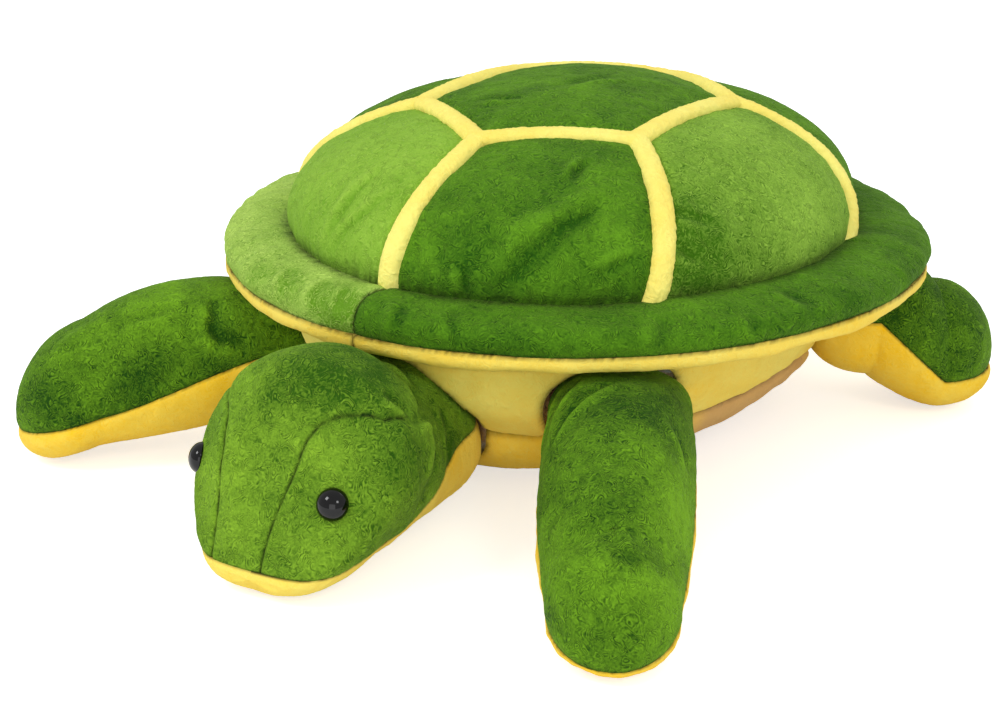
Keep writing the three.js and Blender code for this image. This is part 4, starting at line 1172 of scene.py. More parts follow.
@dataclass
class Rim:
    """The stuffed tube round the dome's foot: green above its outer seam and yellow below, in two halves
    that leave a small gap in the bearing where they meet in front and behind."""

    shell: Shell
    half_width: float = 200.0
    half_length: float = 212.0
    rear_half_length: float = 187.0
    centre_x: float = -4.0
    centre_y: float = 12.0
    rear_droop: float = 13.0
    seam: float = 101.0
    top: float = 122.5
    underside: float = 88.0
    crease: float = 3.5
    top_squareness: float = 2.7
    underside_squareness: float = 3.2
    inset: float = 3.6
    dome_gap: float = 0.3
    half_gap: float = 0.0007
    far: float = 2000.0
    shades: Shades = (
        Shade((-57, -186, 115), 14, -1.0), Shade((-32, -194, 114), 13, -0.9),
        Shade((-12, -196, 112), 13, -1.1), Shade((-80, -178, 112), 12, -0.5),
        Shade((-45, -180, 120), 10, 0.4),
    )
    creases: Creases = (
        Crease((-62, -176, 121), (-54, -192, 110), 1.6, 3.5),
        Crease((-36, -180, 121), (-30, -198, 108), 1.8, 3.5),
        Crease((-16, -186, 120), (-12, -200, 108), 1.5, 3.0),
        Crease((20, -184, 120), (24, -200, 108), 1.2, 3.5),
        Crease((44, -180, 120), (56, -194, 106), 1.3, 3.5),
        Crease((132, -128, 118), (142, -140, 106), 1.4, 4.0),
        Crease((160, -92, 118), (176, -98, 106), 1.2, 3.5),
        Crease((160, -60, 121), (182, -58, 112), 1.2, 4.0),
    )

    def point(self, bearing: Array, v: Array, inset: float, height: float, squareness: float) -> Array:
        """A place on the tube's section: a superellipse quarter from the dome's foot out to the seam,
        lowered behind by the square of the sine of the bearing times v."""
        start = self.shell.point(QUARTER, bearing, self.dome_gap)
        half_length = np.where(np.sin(bearing) > 0, self.rear_half_length, self.half_length)
        seam = stack(self.centre_x + self.half_width * np.cos(bearing),
                     self.centre_y + half_length * np.sin(bearing), self.seam)
        droop = self.rear_droop * (np.maximum(0, np.sin(bearing)) * v) ** 2
        width = np.hypot(*np.moveaxis(seam - start, -1, 0)[:2])
        sine, cosine = (np.maximum(0, wave(v * QUARTER)) ** (2 / squareness) for wave in (np.sin, np.cos))
        place = lerp(start, seam, (np.maximum((width - inset) * sine, 0) / width)[..., None])
        upwards = (abs(height) - inset) * cosine * np.sign(height)
        return stack(place[..., 0], place[..., 1], self.seam + upwards - droop)

    def upper(self, bearing: Array, v: Array, inset: float = 0.0) -> Array:
        """The upper half, drawn down beside the dome by a square law."""
        place = self.point(bearing, v, inset, self.top - self.seam, self.top_squareness)
        place[..., 2] -= self.crease * np.maximum(0, 1 - 3 * v) ** 2
        return place

    def lower(self, bearing: Array, v: Array, inset: float = 0.0) -> Array:
        """The lower half."""
        return self.point(bearing, v, inset, self.underside - self.seam, self.underside_squareness)

    def half(self, section: Surface, side: int) -> Surface:
        """One half of the tube, from the front seam to the rear one."""
        def surface(u: Array, v: Array) -> Array:
            """A point of the half."""
            return section(lerp(self.half_gap, np.pi - self.half_gap, u) - side * QUARTER, v)
        return surface

    def fibre(self, u: Array, v: Array) -> Array:
        """The whole section inset, out over the top and back under."""
        bearing = u * TURN
        upper = self.upper(bearing, np.clip(2 * v, 0, 1), self.inset)
        lower = self.lower(bearing, np.clip(2 - 2 * v, 0, 1), self.inset)
        lower = np.where((v > 0.999)[..., None], self.upper(bearing, 0 * v, self.inset), lower)
        return np.where((v <= 0.5)[..., None], upper, lower)

    def covers(self) -> list[Cover]:
        """The four covers. A section is no closed form, so its cloth faces away from a place far below or
        above it."""
        made = []
        # Painted sheen: the left half in the shaded copy of the green and the right half in the lit copy,
        # with more painted light and the patches of painted shade; the undersides get a little painted shade.
        for name, side, pile in (("left", 1, Pile.RIM_DARK), ("right", -1, Pile.RIM_LIGHT)):
            top = Form(f"rim_top_{name}", self.half(self.upper, side), (360, 40), (0.0, 0.0, -self.far),
                       on_edges(*Edge), coarse=(110, 10), cap=3.0)
            under = Form(f"rim_underside_{name}", self.half(self.lower, side), (360, 26),
                         (0.0, 0.0, self.far), on_edges(*Edge), coarse=(110, 8), cap=2.0)
            shared = {"sewn": tuple(Edge), "tucked": (Edge.V_START,), "pucker_cell": 13.0}
            made += [
                Cover(top.name, "body", pile, top, draw=Draw(roll=1.1, pucker=1.2, reach=20.0, seam_shade_width=0.7),
                      shadow=5.0, lumps=1.2, painted_light=0.0 if side > 0 else 0.12, seed=101 + side,
                      shades=self.shades if side < 0 else (), creases=self.creases, **shared),
                Cover(under.name, "body", Pile.YELLOW, under, draw=Draw(roll=0.6, pucker=0.3, seam_shade_width=0.3),
                      lumps=0.8, painted_light=-0.1, seed=111 + side, **shared),
            ]
        return made


# Body


@dataclass
class Body:
    """The yellow body under the shell, with hollows for the limbs' roots."""

    hollows: tuple[Hollow, ...]
    half_width: float = 125.0
    half_length: float = 160.0
    rear_half_length: float = 146.0
    centre_y: float = 9.0
    squareness: float = 2.4
    seam: float = 42.0
    top: float = 87.7
    flare: float = 14.0
    front_lean: float = 16.5
    lean_power: float = 4.0
    flare_rise: float = 0.4
    flat_shares: tuple[float, float] = (0.41, 0.73)
    flat_run: float = 0.4
    taper: float = 1.4
    inset: float = 3.5
    middle: Place = (0.0, 10.0, 50.0)

    def outline(self, bearing: Array) -> tuple[Array, Array, Array]:
        """The superellipse in plan: the shares of the half width and of the half length, and that length."""
        across, along = (np.sign(way) * np.abs(way) ** (2 / self.squareness)
                         for way in (np.cos(bearing), np.sin(bearing)))
        return across, along, np.where(np.sin(bearing) > 0, self.rear_half_length, self.half_length)

    def gusset(self, u: Array, v: Array, inset: float = 0.0) -> Array:
        """The side: it leaves the seam steeply outwards by a power of v, and leans further out in front."""
        bearing = u * TURN
        across, along, length = self.outline(bearing)
        rise = np.maximum(v, 0) ** self.flare_rise
        outwards = self.flare * rise - inset
        lean = self.front_lean * rise * np.maximum(0, -np.sin(bearing)) ** self.lean_power
        return stack((self.half_width + outwards) * across,
                     self.centre_y + (length + outwards) * along - lean, lerp(self.seam, self.top, v))

    def belly(self, u: Array, v: Array, inset: float = 0.0) -> Array:
        """The bottom: flat in the middle, then up to the seam as the cosine of an angle goes down, while it
        widens as a power of the sine."""
        across, along, length = self.outline(u * TURN)
        angle = np.maximum(0, (v - self.flat_run) / (1 - self.flat_run)) * QUARTER
        flat, wide = np.minimum(1, v / self.flat_run), np.maximum(0, np.sin(angle)) ** self.taper
        reach = [half * share * flat + (half * (1 - share) - inset) * wide
                 for half, share in zip((self.half_width, length), self.flat_shares)]
        return stack(across * reach[0], self.centre_y + along * reach[1],
                     self.seam - (self.seam - inset) * np.cos(angle))

    def fibre(self, u: Array, v: Array) -> Array:
        """The bottom, the side and a flat top, all inset: half, four tenths and the last tenth of v."""
        low = self.belly(u, np.clip(2 * v, 0, 1), self.inset)
        side = self.gusset(u, np.clip((v - 0.5) / 0.4, 0, 1), self.inset)
        share = np.clip((1 - v) / 0.1, 0, 1)
        side[..., 0] *= share
        side[..., 1] = self.centre_y + (side[..., 1] - self.centre_y) * share
        return np.where((v <= 0.5)[..., None], low, side)

    def covers(self) -> list[Cover]:
        """The side and the bottom, whose middle lies on the floor."""
        gusset = Form("gusset", self.gusset, (520, 34), self.middle, on_edges(Edge.V_START, Edge.V_END),
                      coarse=(150, 12), growth=0.05, cap=2.5)
        belly = Form("belly", self.belly, (520, 70), self.middle,
                     lambda p, u, v: (v > 0.999) | (v < 0.45), coarse=(120, 22), cap=2.5)
        shared = {"lines": tuple(hollow.line() for hollow in self.hollows), "pucker_cell": 19.0}
        return [
            # The side gets a little painted light, with a patch of more in front; the belly gets painted
            # shade.
            Cover("body_gusset", "body", Pile.YELLOW, gusset, sewn=(Edge.V_START, Edge.V_END),
                  draw=Draw(pucker=1.3, reach=24.0), lumps=1.2, painted_light=0.05, seed=121,
                  shades=(Shade((-60, -150, 70), 60, 0.6),), **shared),
            # A tan band low on the belly's left and right sides.
            Cover("belly_panel", "body", Pile.YELLOW, belly, sewn=(Edge.V_END,),
                  draw=Draw(pucker=1.0, reach=20.0), lumps=0.8, floor=True, painted_light=-0.45, seed=122,
                  tan_patches=(Shade((118, -30, 25), 40, 1.4), Shade((118, 30, 25), 40, 1.4)), **shared),
        ]


# Flippers and tail


@dataclass
class Limb:
    """A flipper or the tail: green above its seam, yellow below, turning about the middle of its root.

    The heights of the seam, the half widths and the heights above and below the seam are given at the
    root, a third, two thirds and the end of the spine. A round tip follows it. The creases and the shades
    are those of the green panel.
    """

    name: str
    x: float
    y: float
    degrees: float
    spine: float
    tip_reach: float
    seams: Four
    tip_seam: float
    half_widths: Four
    above: Four
    below: Four
    seed: int
    squareness: float = 2.2
    creases: Creases = ()
    shades: Shades = ()
    fine: tuple[int, int] = (300, 50)
    inset: float = 3.4

    @staticmethod
    def run(values: tuple[float, ...], share: Array) -> Array:
        """The cubic through values at 0, 1/3, 2/3 and 1."""
        return np.polyval(np.polyfit(np.linspace(0, 1, len(values)), values, len(values) - 1), share)

    def outline(self, u: Array, inset: float) -> tuple[Array, Array, Array]:
        """The outline in plan, in four quarters of u: a half circle round the pivot, one long side, the
        round tip and the other long side. Gives the way along, aside, and the share of the spine."""
        quarter = np.floor(4 * u).astype(int) % 4
        share = 4 * u - np.floor(4 * u)
        root, end = self.half_widths[0] - inset, self.half_widths[-1] - inset
        back, front = QUARTER + share * np.pi, share * np.pi - QUARTER
        tip = self.spine + (self.tip_reach - inset) * np.cos(front)
        right, left = (self.run(self.half_widths, way) - inset for way in (share, 1 - share))
        choices = [quarter == k for k in range(4)]
        along = np.select(choices, [root * np.cos(back), share * self.spine, tip, (1 - share) * self.spine])
        aside = np.select(choices, [root * np.sin(back), -right, end * np.sin(front), left])
        return along, aside, np.select(choices, [0 * u, share, 0 * u + 1, 1 - share])

    def seam(self, along: Array) -> Array:
        """The height of the seam: level round the root, then its cubic, then even over the tip."""
        on_spine = self.run(self.seams, np.clip(along / self.spine, 0, 1))
        beyond = np.maximum(0, along - self.spine) / self.tip_reach
        return lerp(on_spine, self.tip_seam, beyond)

    def point(self, u: Array, v: Array, side: int, inset: float = 0.0) -> Array:
        """A place on the limb, in the part's frame: v = 0 on the spine and 1 on the seam, with the height
        a superellipse of the sine of v."""
        ring = np.sin(np.clip(v, 0, 1) * QUARTER)
        along, aside, spine = self.outline(u, inset)
        height = self.run(self.above if side > 0 else self.below, spine) - inset
        rounding = np.maximum(0, 1 - ring**self.squareness) ** (1 / self.squareness)
        place = lerp(spine * self.spine, along, ring)
        return turned(stack(place, aside * ring, self.seam(place) + side * height * rounding),
                      self.degrees, self.x, self.y)

    def hollow(self, ease: float = 2.8) -> Hollow:
        """The hollow that its root turns in."""
        seam = self.seams[0]
        return Hollow(self.x, self.y, radius=self.half_widths[0] + ease, low=seam - self.below[0] - ease,
                      high=seam + self.above[0] + ease, widest=seam, power=self.squareness)

    def fibre(self, u: Array, v: Array) -> Array:
        """Both halves inset, joined at the seam."""
        upper = self.point(u, np.clip(2 * v, 0, 1), 1, self.inset)
        lower = self.point(u, np.clip(2 - 2 * v, 0, 1), -1, self.inset)
        return np.where((v <= 0.5)[..., None], upper, lower)

    def covers(self) -> list[Cover]:
        """The upper and the lower panel, both held round the root, where the body hides them."""
        made = []
        middle = turned(np.array([self.spine / 2, 0.0, (self.seams[0] + self.tip_seam) / 2]),
                        self.degrees, self.x, self.y)
        draw = Draw(roll=0.9, width=4.0, pucker=0.6, reach=18.0, seam_shade_width=0.8)
        for part, side, pile, detail in (
            ("top", 1, Pile.LIMB, {"creases": self.creases, "shades": self.shades}),
            # The yellow underside gets painted shade.
            ("underside", -1, Pile.YELLOW, {"painted_light": -0.5}),
        ):
            form = Form(f"{self.name}_{part}", lambda u, v, side=side: self.point(u, v, side), self.fine,
                        tuple(middle), lambda p, u, v: (v > 0.999) | (u < 0.251),
                        coarse=(80, 16), growth=0.03, cap=2.2)
            made.append(Cover(form.name, self.name, pile, form, sewn=(Edge.V_END,), draw=draw,
                              pucker_cell=13.0, lumps=1.1, seed=self.seed + side, **detail))
        return made


REAR_LEFT = Limb(
    "rear_left_flipper", x=135, y=103, degrees=40, spine=40, tip_reach=36,
    seams=(60.7, 48.5, 36.2, 24), tip_seam=24, half_widths=(38.4, 42.5, 44, 40),
    above=(20.5, 35.2, 48, 49), below=(41.8, 38, 31.5, 23), seed=230,
)
LIMBS = (
    Limb(
        "front_left_flipper", x=110, y=-126, degrees=-59, spine=133, tip_reach=42,
        seams=(61.4, 46.3, 31.1, 16), tip_seam=8, half_widths=(36.5, 38.7, 37.3, 31.2),
        above=(22, 41, 47, 43), below=(39.5, 34.5, 25, 12), seed=210,
        creases=(
            Crease((112, -200, 68), (124, -146, 88), 2.6, 3.6),
            Crease((92, -176, 50), (86, -142, 76), 2.0, 3.2),
            Crease((100, -186, 62), (104, -146, 84), 1.8, 3.2),
            Crease((176, -270, 38), (200, -230, 42), 1.1, 4.0),
            Crease((158, -158, 80), (174, -166, 56), 1.4, 4.0),
        ),
        shades=(
            Shade((138, -160, 86), 28, -1.0), Shade((168, -227, 65), 26, -0.6),
            Shade((197, -269, 31), 18, 0.2), Shade((139, -216, 69), 14, 0.2),
            Shade((192, -200, 50), 20, 1.1), Shade((156, -251, 41), 16, 0.3),
            Shade((205, -240, 28), 16, 0.4),
        ),
    ),
    Limb(
        "front_right_flipper", x=-110, y=-126, degrees=-128, spine=112, tip_reach=42,
        seams=(61.5, 57, 45, 33), tip_seam=20, half_widths=(37.5, 41.7, 42.3, 36),
        above=(20.5, 33.5, 43.5, 44), below=(37, 41, 35, 28), seed=220,
        creases=(
            Crease((-158, -214, 74), (-134, -190, 86), 0.8, 3.0),
            Crease((-122, -190, 78), (-100, -174, 66), 2.0, 4.0),
            Crease((-128, -172, 84), (-108, -188, 66), 1.8, 3.6),
        ),
        shades=(
            Shade((-173, -195, 79), 30, 0.3), Shade((-150, -171, 89), 20, 0.4),
            Shade((-140, -223, 54), 22, -0.6), Shade((-112, -184, 74), 26, -0.3),
            Shade((-170, -246, 43), 20, -0.5),
        ),
    ),
    replace(REAR_LEFT, shades=(Shade((175, 91, 67), 44, -0.5),)),
    replace(REAR_LEFT, name="rear_right_flipper", x=-135, degrees=140, seed=240),
    Limb(
        "tail", x=0, y=168, degrees=90, spine=40, tip_reach=12, seams=(44, 36, 28, 20), tip_seam=20,
        half_widths=(20, 21, 16, 9), above=(22, 20, 15, 9), below=(20, 19, 14, 9), seed=250, fine=(160, 26),
    ),
)


# Head


@dataclass
class Head:
    """The head: a centre gusset over the face and crown, two cheeks, and a yellow chin panel."""

    pivot_x: float = 2.7
    pivot_y: float = -176.0
    turn: float = 5.5
    face_lean: float = 10.5
    neck_radius: float = 45.6
    length: float = 129.5
    half_width: float = 58.0
    height: float = 105.0
    lift: float = 0.5
    eye_aside: float = 44.5
    eye_height: float = 50.6
    neck_run: float = 0.25
    neck_sag: float = 0.6
    sag_run: float = 0.55
    inset: float = 3.4
    top_shares: Pairs = (
        (0, 0.794), (0.09, 0.8), (0.19, 0.829), (0.37, 0.981), (0.573, 1), (0.719, 0.8),
        (0.837, 0.53), (0.921, 0.335), (0.983, 0.17), (1, 0.11),
    )
    under_shares: Pairs = (
        (0, 0.11), (0.1, 0.085), (0.27, 0.06), (0.472, 0.034), (0.652, 0.014), (0.787, 0),
        (0.888, 0.008), (0.95, 0.028), (0.989, 0.065), (1, 0.11),
    )
    width_shares: tuple[float, ...] = (0.787, 0.823, 0.88, 0.966, 1, 0.91, 0.762, 0.588, 0.352, 0)
    gusset_shares: Pairs = (
        (0.26, 1.225), (0.262, 0.955), (0.293, 0.899), (0.33, 0.857), (0.372, 0.815), (0.397, 0.775),
        (0.42, 0.753), (0.475, 0.713), (0.57, 0.68), (0.66, 0.655), (0.79, 0.595), (0.834, 0.502),
        (0.774, 0.318), (0.662, 0.053), (0.57, -0.18), (0.43, -0.584),
    )
    chin_shares: Pairs = (
        (1.225, 0.15), (0.966, 0.155), (0.82, 0.175), (0.472, 0.24), (0.337, 0.32), (0.236, 0.41),
        (0.101, 0.45), (-1.2, 0.45),
    )
    lean_run: tuple[float, float] = (0.573, 0.753)
    under_cheek: tuple[float, float] = (0.55, 0.4)
    under_cheek_away: float = 4.0
    dart_end: float = 0.5
    dart_run: float = 0.06
    seam_hold: float = 2.5
    eye_start: tuple[float, float] = (0.735, 0.115)
    creases: Creases = (
        Crease((44, -240, 92), (54, -230, 79), 2.4, 3.0),
        Crease((58, -232, 78), (48, -208, 73), 2.0, 3.0),
        Crease((52, -208, 70), (63, -236, 36), 1.3, 4.0),
        Crease((40, -182, 66), (56, -206, 42), 1.4, 3.6),
        Crease((10, -186, 84), (34, -194, 77), 1.2, 4.0),
        Crease((34, -196, 84), (48, -216, 76), 1.6, 4.0),
    )
    shades: Shades = (
        Shade((24, -252, 94), 26, -0.8), Shade((29, -230, 102), 24, -0.6),
        Shade((62, -244, 70), 22, -0.5), Shade((49, -198, 61), 22, -0.8),
        Shade((-1, -291, 45), 28, 0.35), Shade((47, -275, 40), 26, -0.2),
        Shade((-20, -200, 90), 26, -0.5),
    )

    def half(self, t: Array) -> Array:
        """The half width at t, forward of the neck."""
        knots = np.array([(i, share) for i, share in enumerate(self.width_shares)])
        return spline(knots, (t - self.neck_run) / (1 - self.neck_run))[..., 1] * self.half_width

    def lean(self, along: Array) -> Array:
        """How far the face has leant to the right at a share of the length, by the cubic 3t^2 - 2t^3."""
        t = np.clip((along - self.lean_run[0]) / (self.lean_run[1] - self.lean_run[0]), 0, 1)
        return self.face_lean * t * t * (3 - 2 * t)

    @staticmethod
    def sagging(sine: Array, sag: Array) -> Array:
        """How far up a section a point lies, for the sine of its angle: a power lowers the widest place."""
        return np.maximum(0, (1 + sine) / 2) ** (1 + sag)

    def own_point(self, t: Array, angle: Array, inset: float = 0.0) -> Array:
        """A place in the head's own frame, facing -Y: half an egg behind the pivot, then sections from egg
        to ellipse whose top and bottom follow two profile curves."""
        tilt = np.minimum(t / self.neck_run, 1) * QUARTER
        low, high = self.under_shares[0][1], self.top_shares[0][1]
        up = self.sagging(np.sin(tilt) * np.sin(angle), self.neck_sag)
        neck = stack(self.neck_radius * np.sin(tilt) * np.cos(angle), self.neck_radius * np.cos(tilt),
                     self.height * lerp(low, high, up))
        share = np.clip((t - self.neck_run) / (1 - self.neck_run), 0, 1)
        sag = self.neck_sag * np.maximum(0, 1 - share / self.sag_run) ** 2
        profile = lerp(spline(self.under_shares, share), spline(self.top_shares, share),
                       self.sagging(np.sin(angle), sag)[..., None])
        front = stack(self.half(np.maximum(t, self.neck_run)) * np.cos(angle), -profile[..., 0] * self.length,
                      profile[..., 1] * self.height)
        place = np.where((t < self.neck_run)[..., None], neck, front)
        middle = np.array([0, (self.neck_radius - self.length) / 2, self.height / 2])
        shrink = 1 - 2 * inset / np.array([2 * self.half_width, self.neck_radius + self.length, self.height])
        return (place - middle) * shrink + middle + (0, 0, self.lift)

    def hollow(self, ease: float = 2.0) -> Hollow:
        """The hollow that the neck turns in, widest a third of the way up."""
        low, high = self.under_shares[0][1] * self.height, self.top_shares[0][1] * self.height
        return Hollow(self.pivot_x, self.pivot_y, radius=self.neck_radius + ease, low=low + self.lift - ease,
                      high=high + self.lift + ease, widest=lerp(low, high, 0.33), power=2.0,
                      sag=self.neck_sag)

    def placed(self, points: Array) -> Array:
        """Points of the head's own frame in the part's frame."""
        return turned(points, self.turn, self.pivot_x, self.pivot_y)

    def own(self, points: Array) -> Array:
        """Points of the part's frame in the head's own frame."""
        return turned(points - (self.pivot_x, self.pivot_y, 0), -self.turn, 0, 0)

    def surface(self, u: Array, v: Array) -> Array:
        """The whole form: u round it and v from the neck to the snout."""
        return self.placed(self.own_point(v, u * TURN))

    def fibre(self, u: Array, v: Array) -> Array:
        """The whole form inset."""
        return self.placed(self.own_point(v, u * TURN, self.inset))

    def gusset_value(self, side: int) -> Field:
        """The plan distance from a gusset seam, above zero on the cheek: that from the nearest straight
        stretch, with the sign of a count of the stretches that a line to the middle crosses. Low on the
        side, where the head narrows again inside the seam, all is cheek."""
        share = np.array(self.gusset_shares)
        x = share[:, 0] * self.half_width - side * self.lean(share[:, 1])
        seam = np.stack([x, -share[:, 1] * self.length], 1)

        def value(points: Array) -> Array:
            """Above zero on the cheek."""
            p = self.own(points)
            place = np.stack([side * p[..., 0], p[..., 1]], -1)
            nearest, crossings = np.full(place.shape[:-1], FAR), np.zeros(place.shape[:-1], int)
            for start, end in zip(seam[:-1], seam[1:]):
                way = end - start
                t = np.clip(((place - start) @ way) / (way @ way), 0, 1)
                nearest = np.minimum(nearest, np.linalg.norm(place - start - t[..., None] * way, axis=-1))
                spans = (start[1] > place[..., 1]) != (end[1] > place[..., 1])
                level = start[0] + (place[..., 1] - start[1]) * way[0] / (way[1] if way[1] else 1.0)
                crossings += spans & (level < place[..., 0])
            signed = np.where(crossings % 2 == 1, nearest, -nearest)
            aside, under = self.under_cheek
            low = (p[..., 2] < under * self.height) & (place[..., 0] > aside * self.half_width)
            return np.where(low, np.maximum(nearest, self.under_cheek_away), signed)
        return value

    def chin_value(self, points: Array) -> Array:
        """Eight tenths of the height above the chin seam, whose side view is a run of straight lines."""
        p = self.own(points)
        seam = np.array(self.chin_shares)[::-1]
        level = np.interp(-p[..., 1], seam[:, 0] * self.length, seam[:, 1] * self.height)
        return (p[..., 2] - level) * 0.8

    def along_seam(self, points: Array) -> Array:
        """What changes along the head's seams only: the way back, with the two sides set far apart."""
        p = self.own(points)
        return stack(300 * np.sign(p[..., 0]), p[..., 1], 0.0)

    def dart_fade(self, points: Array) -> Array:
        """One along the face, fading to nothing behind the end of the dart."""
        along = -self.own(points)[..., 1] / self.length
        return np.clip((along - self.dart_end) / self.dart_run + 1, 0, 1)

    def eye_seat(self, side: int) -> tuple[Array, Array]:
        """An eye's place on the cheek and the direction out of it, in the part's frame. The place is the
        best on a grid over the cheek that closes in on it twice."""
        (t, reach_t), (angle, reach_a) = self.eye_start, (QUARTER * (1 - side / 2), QUARTER / 2)
        sweep = np.linspace(-1, 1, 25)
        for _ in range(3):
            ts, angles = np.meshgrid(t + reach_t * sweep, angle + reach_a * sweep)
            place = self.own_point(ts, angles)
            away = place[..., 0] + self.lean(-place[..., 1] / self.length) - side * self.eye_aside
            best = np.argmin(np.hypot(away, place[..., 2] - self.eye_height))
            t, angle, reach_t, reach_a = ts.flat[best], angles.flat[best], reach_t / 6, reach_a / 6
        step = 0.01
        around = self.own_point(t + step * np.array([1, -1, 0, 0]), angle + step * np.array([0, 0, 1, -1]))
        out = unit(np.cross(around[2] - around[3], around[0] - around[1]))
        out = -out if out[1] > 0 else out
        return self.placed(self.own_point(np.array(t), np.array(angle))), turned(out, self.turn, 0, 0)

    def covers(self) -> list[Cover]:
        """Gusset, cheeks and chin, all cut from one filled form."""
        draw = Draw(roll=1.4, width=2.8, pucker=0.7, seam_shade_width=0.7)
        left, right = (Line(self.gusset_value(side), self.along_seam, draw, self.dart_fade)
                       for side in (1, -1))
        above = Line(self.chin_value, self.along_seam, replace(draw, roll=0.7, pucker=0.5, seam_shade_width=0.6))

        def held(points: Array, u: Array, v: Array) -> Array:
            """True beside a seam that shows, round the neck and on the floor."""
            chin = self.chin_value(points)
            on_gusset = np.minimum(np.abs(left.value(points)), np.abs(right.value(points))) < self.seam_hold
            on_seam = (np.abs(chin) < self.seam_hold) | (on_gusset & (chin > 0))
            return on_seam | (v < 0.22) | (points[..., 2] < 1.5)

        form = Form("head", self.surface, (380, 250), tuple(self.placed(np.array([0.0, -60.0, 50.0]))), held,
                    coarse=(72, 56), growth=0.03, cap=3.0)
        shared = {"form": form, "lumps": 1.1, "seed": 301, "creases": self.creases, "shades": self.shades}
        centre = replace(left, value=lambda p: -np.maximum(left.value(p), right.value(p)))
        return [
            Cover("head_gusset", "head", Pile.HEAD, lines=(centre, above), **shared),
            Cover("cheek_left", "head", Pile.HEAD, lines=(left, above), **shared),
            Cover("cheek_right", "head", Pile.HEAD, lines=(right, above), **shared),
            Cover("chin_panel", "head", Pile.YELLOW, lines=(above.other_side(),), floor=True, **shared),
        ]


@dataclass
class Eyes:
    """Two glossy snap-in eyes, with the lock washers inside."""

    head: Head
    radius: float = 8.0
    height: float = 7.5
    shank_radius: float = 2.2
    shank_length: float = 13.0
    rib_depth: float = 0.5
    rib_pitch: float = 1.2
    sunk: float = 2.0
    back: float = 0.6
    edge: float = 0.7
    around: int = 64
    plastic: Plastic = Plastic("eye_black_plastic", 0x010102, 0.05, 1.4)
    washer_plastic: Plastic = Plastic("washer_white_plastic", 0xE4E4E0, 0.5, 1.45)

    def profile(self) -> Array:
        """Radius and height: up the ribbed shank, out under the flat back, round the edge and over the half
        ellipse."""
        ribs = np.arange(0, 9)
        shank = np.stack([self.shank_radius - self.rib_depth * (ribs % 2),
                          -self.shank_length + ribs * self.rib_pitch], 1)
        dome = np.linspace(0, QUARTER, 22)
        base = self.back - self.sunk
        cap = np.stack([self.radius * np.cos(dome), base + self.edge + (self.height - 1.0) * np.sin(dome)], 1)
        rows = np.vstack([[0, -self.shank_length], shank, [self.shank_radius - self.rib_depth, base],
                          [self.radius - self.edge, base], [self.radius - 0.15, base + 0.3], cap])
        rows[-1, 0] = 0
        return rows

    def build(self) -> None:
        """Turns each eye's profile about its own axis and gives the washers their finish."""
        black, white = self.plastic.material(), self.washer_plastic.material()
        rows = self.profile()
        radius, along = rows[:, :1], rows[:, 1:]
        angle = np.linspace(0, TURN, self.around + 1)
        for name, side in (("left", 1), ("right", -1)):
            place, out = self.head.eye_seat(side)
            across = unit(np.cross(out, [0.0, 0.0, 1.0]))
            upright = np.cross(out, across)
            ways = stack(radius * np.cos(angle), radius * np.sin(angle), along)
            points = place + ways @ np.stack([across, upright, out])
            points, faces, _ = weld(points.reshape(-1, 3), grid_faces(len(rows) - 1, self.around))
            faces = facing_out(points, faces, place)
            made = make_object(f"eye_{name}_dome", points, faces, black, {})
            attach(made, "head")
            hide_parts(f"eye_{name}")
            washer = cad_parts[f"eye_washer_{name}"]
            washer.data.materials.clear()
            washer.data.materials.append(white)
            LOG.info("%s: %d triangles", made.name, len(faces))


# Studio


@dataclass(frozen=True)
class Lamp:
    """A soft square lamp."""

    name: str
    place: Place
    size: float
    power: float


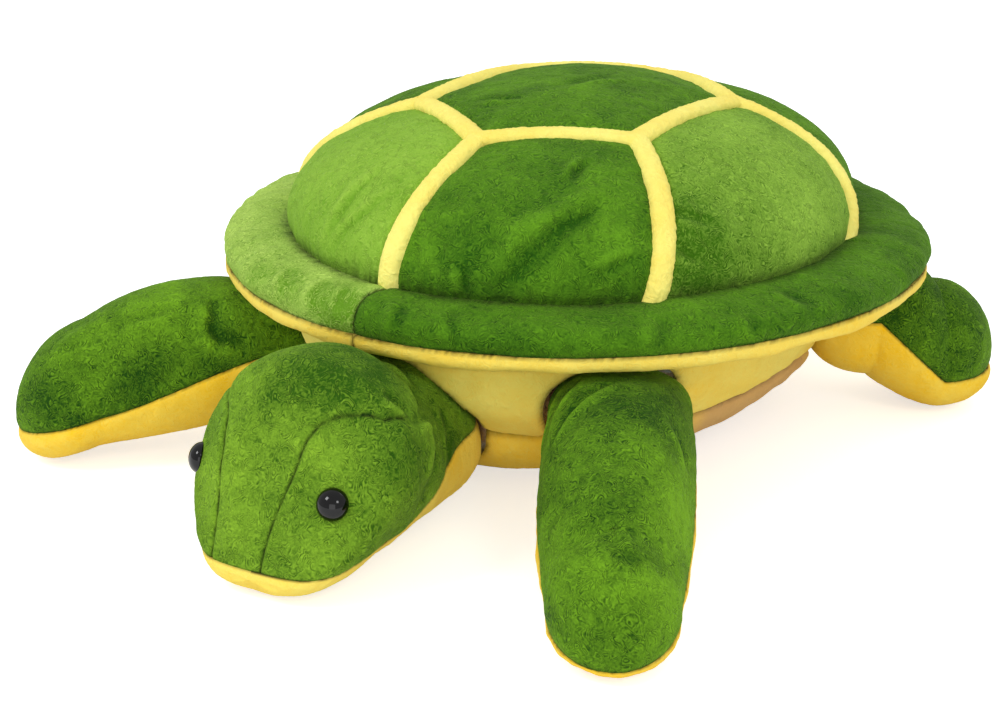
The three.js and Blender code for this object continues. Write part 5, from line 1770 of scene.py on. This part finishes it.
@dataclass
class Studio:
    """A pale floor, soft light and the camera at the photograph's place."""

    lamps: tuple[Lamp, ...] = (
        Lamp("key", (-0.7, -1.6, 1.7), 0.6, 13), Lamp("fill", (1.7, -1.1, 1.5), 0.5, 7),
        Lamp("low", (0.9, -2.0, 0.35), 1.2, 7), Lamp("back", (0.4, 1.6, 1.6), 1.2, 4),
    )
    aim: Place = (0, -0.03, 0.08)
    sky: float = 0.72
    sky_glow: float = 0.58
    floor_grey: float = 0.86
    floor_glow: float = 0.62
    floor_half: float = 30.0
    floor_below: float = 0.0005
    sensor: float = 36.0
    photo_width: float = 1000.0
    azimuth: float = 35.12
    elevation: float = 20.44
    place: Place = (0.6265, -0.9667, 0.4608)
    focal_pixels: float = 2091.88

    def camera(self) -> None:
        """Puts the camera at the fitted place, looking along the fitted direction."""
        a, e = np.radians(self.azimuth), np.radians(self.elevation)
        back = Vector((np.sin(a) * np.cos(e), -np.cos(a) * np.cos(e), np.sin(e)))
        right = Vector((np.cos(a), np.sin(a), 0))
        turn = Matrix((right, back.cross(right), back)).transposed().to_4x4()
        data = bpy.data.cameras.new("camera")
        data.sensor_fit = "HORIZONTAL"
        data.sensor_width = self.sensor
        data.lens = self.focal_pixels / self.photo_width * self.sensor
        data.clip_end = 50
        camera = bpy.data.objects.new("camera", data)
        camera.matrix_world = Matrix.Translation(self.place) @ turn
        bpy.context.scene.collection.objects.link(camera)
        bpy.context.scene.camera = camera

    def light(self, lamp: Lamp) -> None:
        """Sets up a lamp aimed at the toy."""
        data = bpy.data.lights.new(lamp.name, "AREA")
        data.size = lamp.size
        data.energy = lamp.power
        made = bpy.data.objects.new(lamp.name, data)
        way = Vector(self.aim) - Vector(lamp.place)
        made.rotation_euler = way.to_track_quat("-Z", "Y").to_euler()
        made.location = lamp.place
        bpy.context.scene.collection.objects.link(made)

    def floor(self) -> None:
        """A wide pale floor that shows white to the camera and keeps the toy's shadow."""
        made = bpy.data.materials.new("floor_paper")
        made.use_nodes = True
        n = Nodes(made.node_tree)
        nodes = made.node_tree.nodes
        shader = nodes["Principled BSDF"]
        shader.inputs["Base Color"].default_value = (*[self.floor_grey] * 3, 1)
        shader.inputs["Roughness"].default_value = 0.9
        shader.inputs["Specular IOR Level"].default_value = 0.1
        path = n.add("ShaderNodeLightPath")
        seen = n.math("MAXIMUM", path.outputs["Is Camera Ray"], n.math(
            "MAXIMUM", path.outputs["Is Glossy Ray"], path.outputs["Is Transmission Ray"]))
        glow = n.add("ShaderNodeEmission", {"Strength": n.scaled(seen, self.floor_glow)})
        both = n.add("ShaderNodeAddShader", {0: shader.outputs[0], 1: glow.outputs[0]})
        made.node_tree.links.new(both.outputs[0], nodes["Material Output"].inputs["Surface"])
        half = self.floor_half
        mesh = bpy.data.meshes.new("floor")
        mesh.from_pydata([(-half, -half, 0), (half, -half, 0), (half, half, 0), (-half, half, 0)], [],
                         [(0, 1, 2, 3)])
        mesh.materials.append(made)
        floor = bpy.data.objects.new("floor", mesh)
        floor.location.z = -self.floor_below
        bpy.context.scene.collection.objects.link(floor)

    def world(self) -> None:
        """Even light from all round, white where the camera sees it."""
        world = bpy.data.worlds.new("world")
        world.use_nodes = True
        n = Nodes(world.node_tree)
        path = n.add("ShaderNodeLightPath")
        seen = n.math("MAXIMUM", path.outputs["Is Camera Ray"], path.outputs["Is Transmission Ray"])
        shader = world.node_tree.nodes["Background"]
        shader.inputs["Color"].default_value = (1, 1, 1, 1)
        strength = n.total(self.sky, n.scaled(seen, self.sky_glow))
        world.node_tree.links.new(strength, shader.inputs["Strength"])
        bpy.context.scene.world = world

    def build(self) -> None:
        """Sets up everything round the toy."""
        bpy.context.scene.view_settings.view_transform = "Standard"
        self.camera()
        self.floor()
        self.world()
        for lamp in self.lamps:
            self.light(lamp)


def main() -> None:
    """Builds the studio, fills the covers, and makes every piece in place of its solid."""
    Studio().build()
    shell, head = Shell(), Head()
    rim = Rim(shell)
    body = Body((head.hollow(), *(limb.hollow() for limb in LIMBS)))
    covers = [cover for part in (shell, rim, body, head, *LIMBS) for cover in part.covers()]
    forms = list({id(cover.form): cover.form for cover in covers}.values())
    Stuffing().fill([form for form in forms if form.cap > 1])
    for cover in covers:
        cover.build()
    wadding("shell_filling", "body", shell.fibre, (96, 60))
    wadding("rim_filling", "body", rim.fibre, (160, 32))
    wadding("body_filling", "body", body.fibre, (160, 60), body.hollows)
    wadding("head_filling", "head", head.fibre, (64, 48))
    for limb in LIMBS:
        wadding(limb.name + "_filling", limb.name, limb.fibre, (64, 24))
    Eyes(head).build()


if __name__ == "__main__":
    logging.basicConfig(level=logging.INFO, format="%(message)s")
    main()
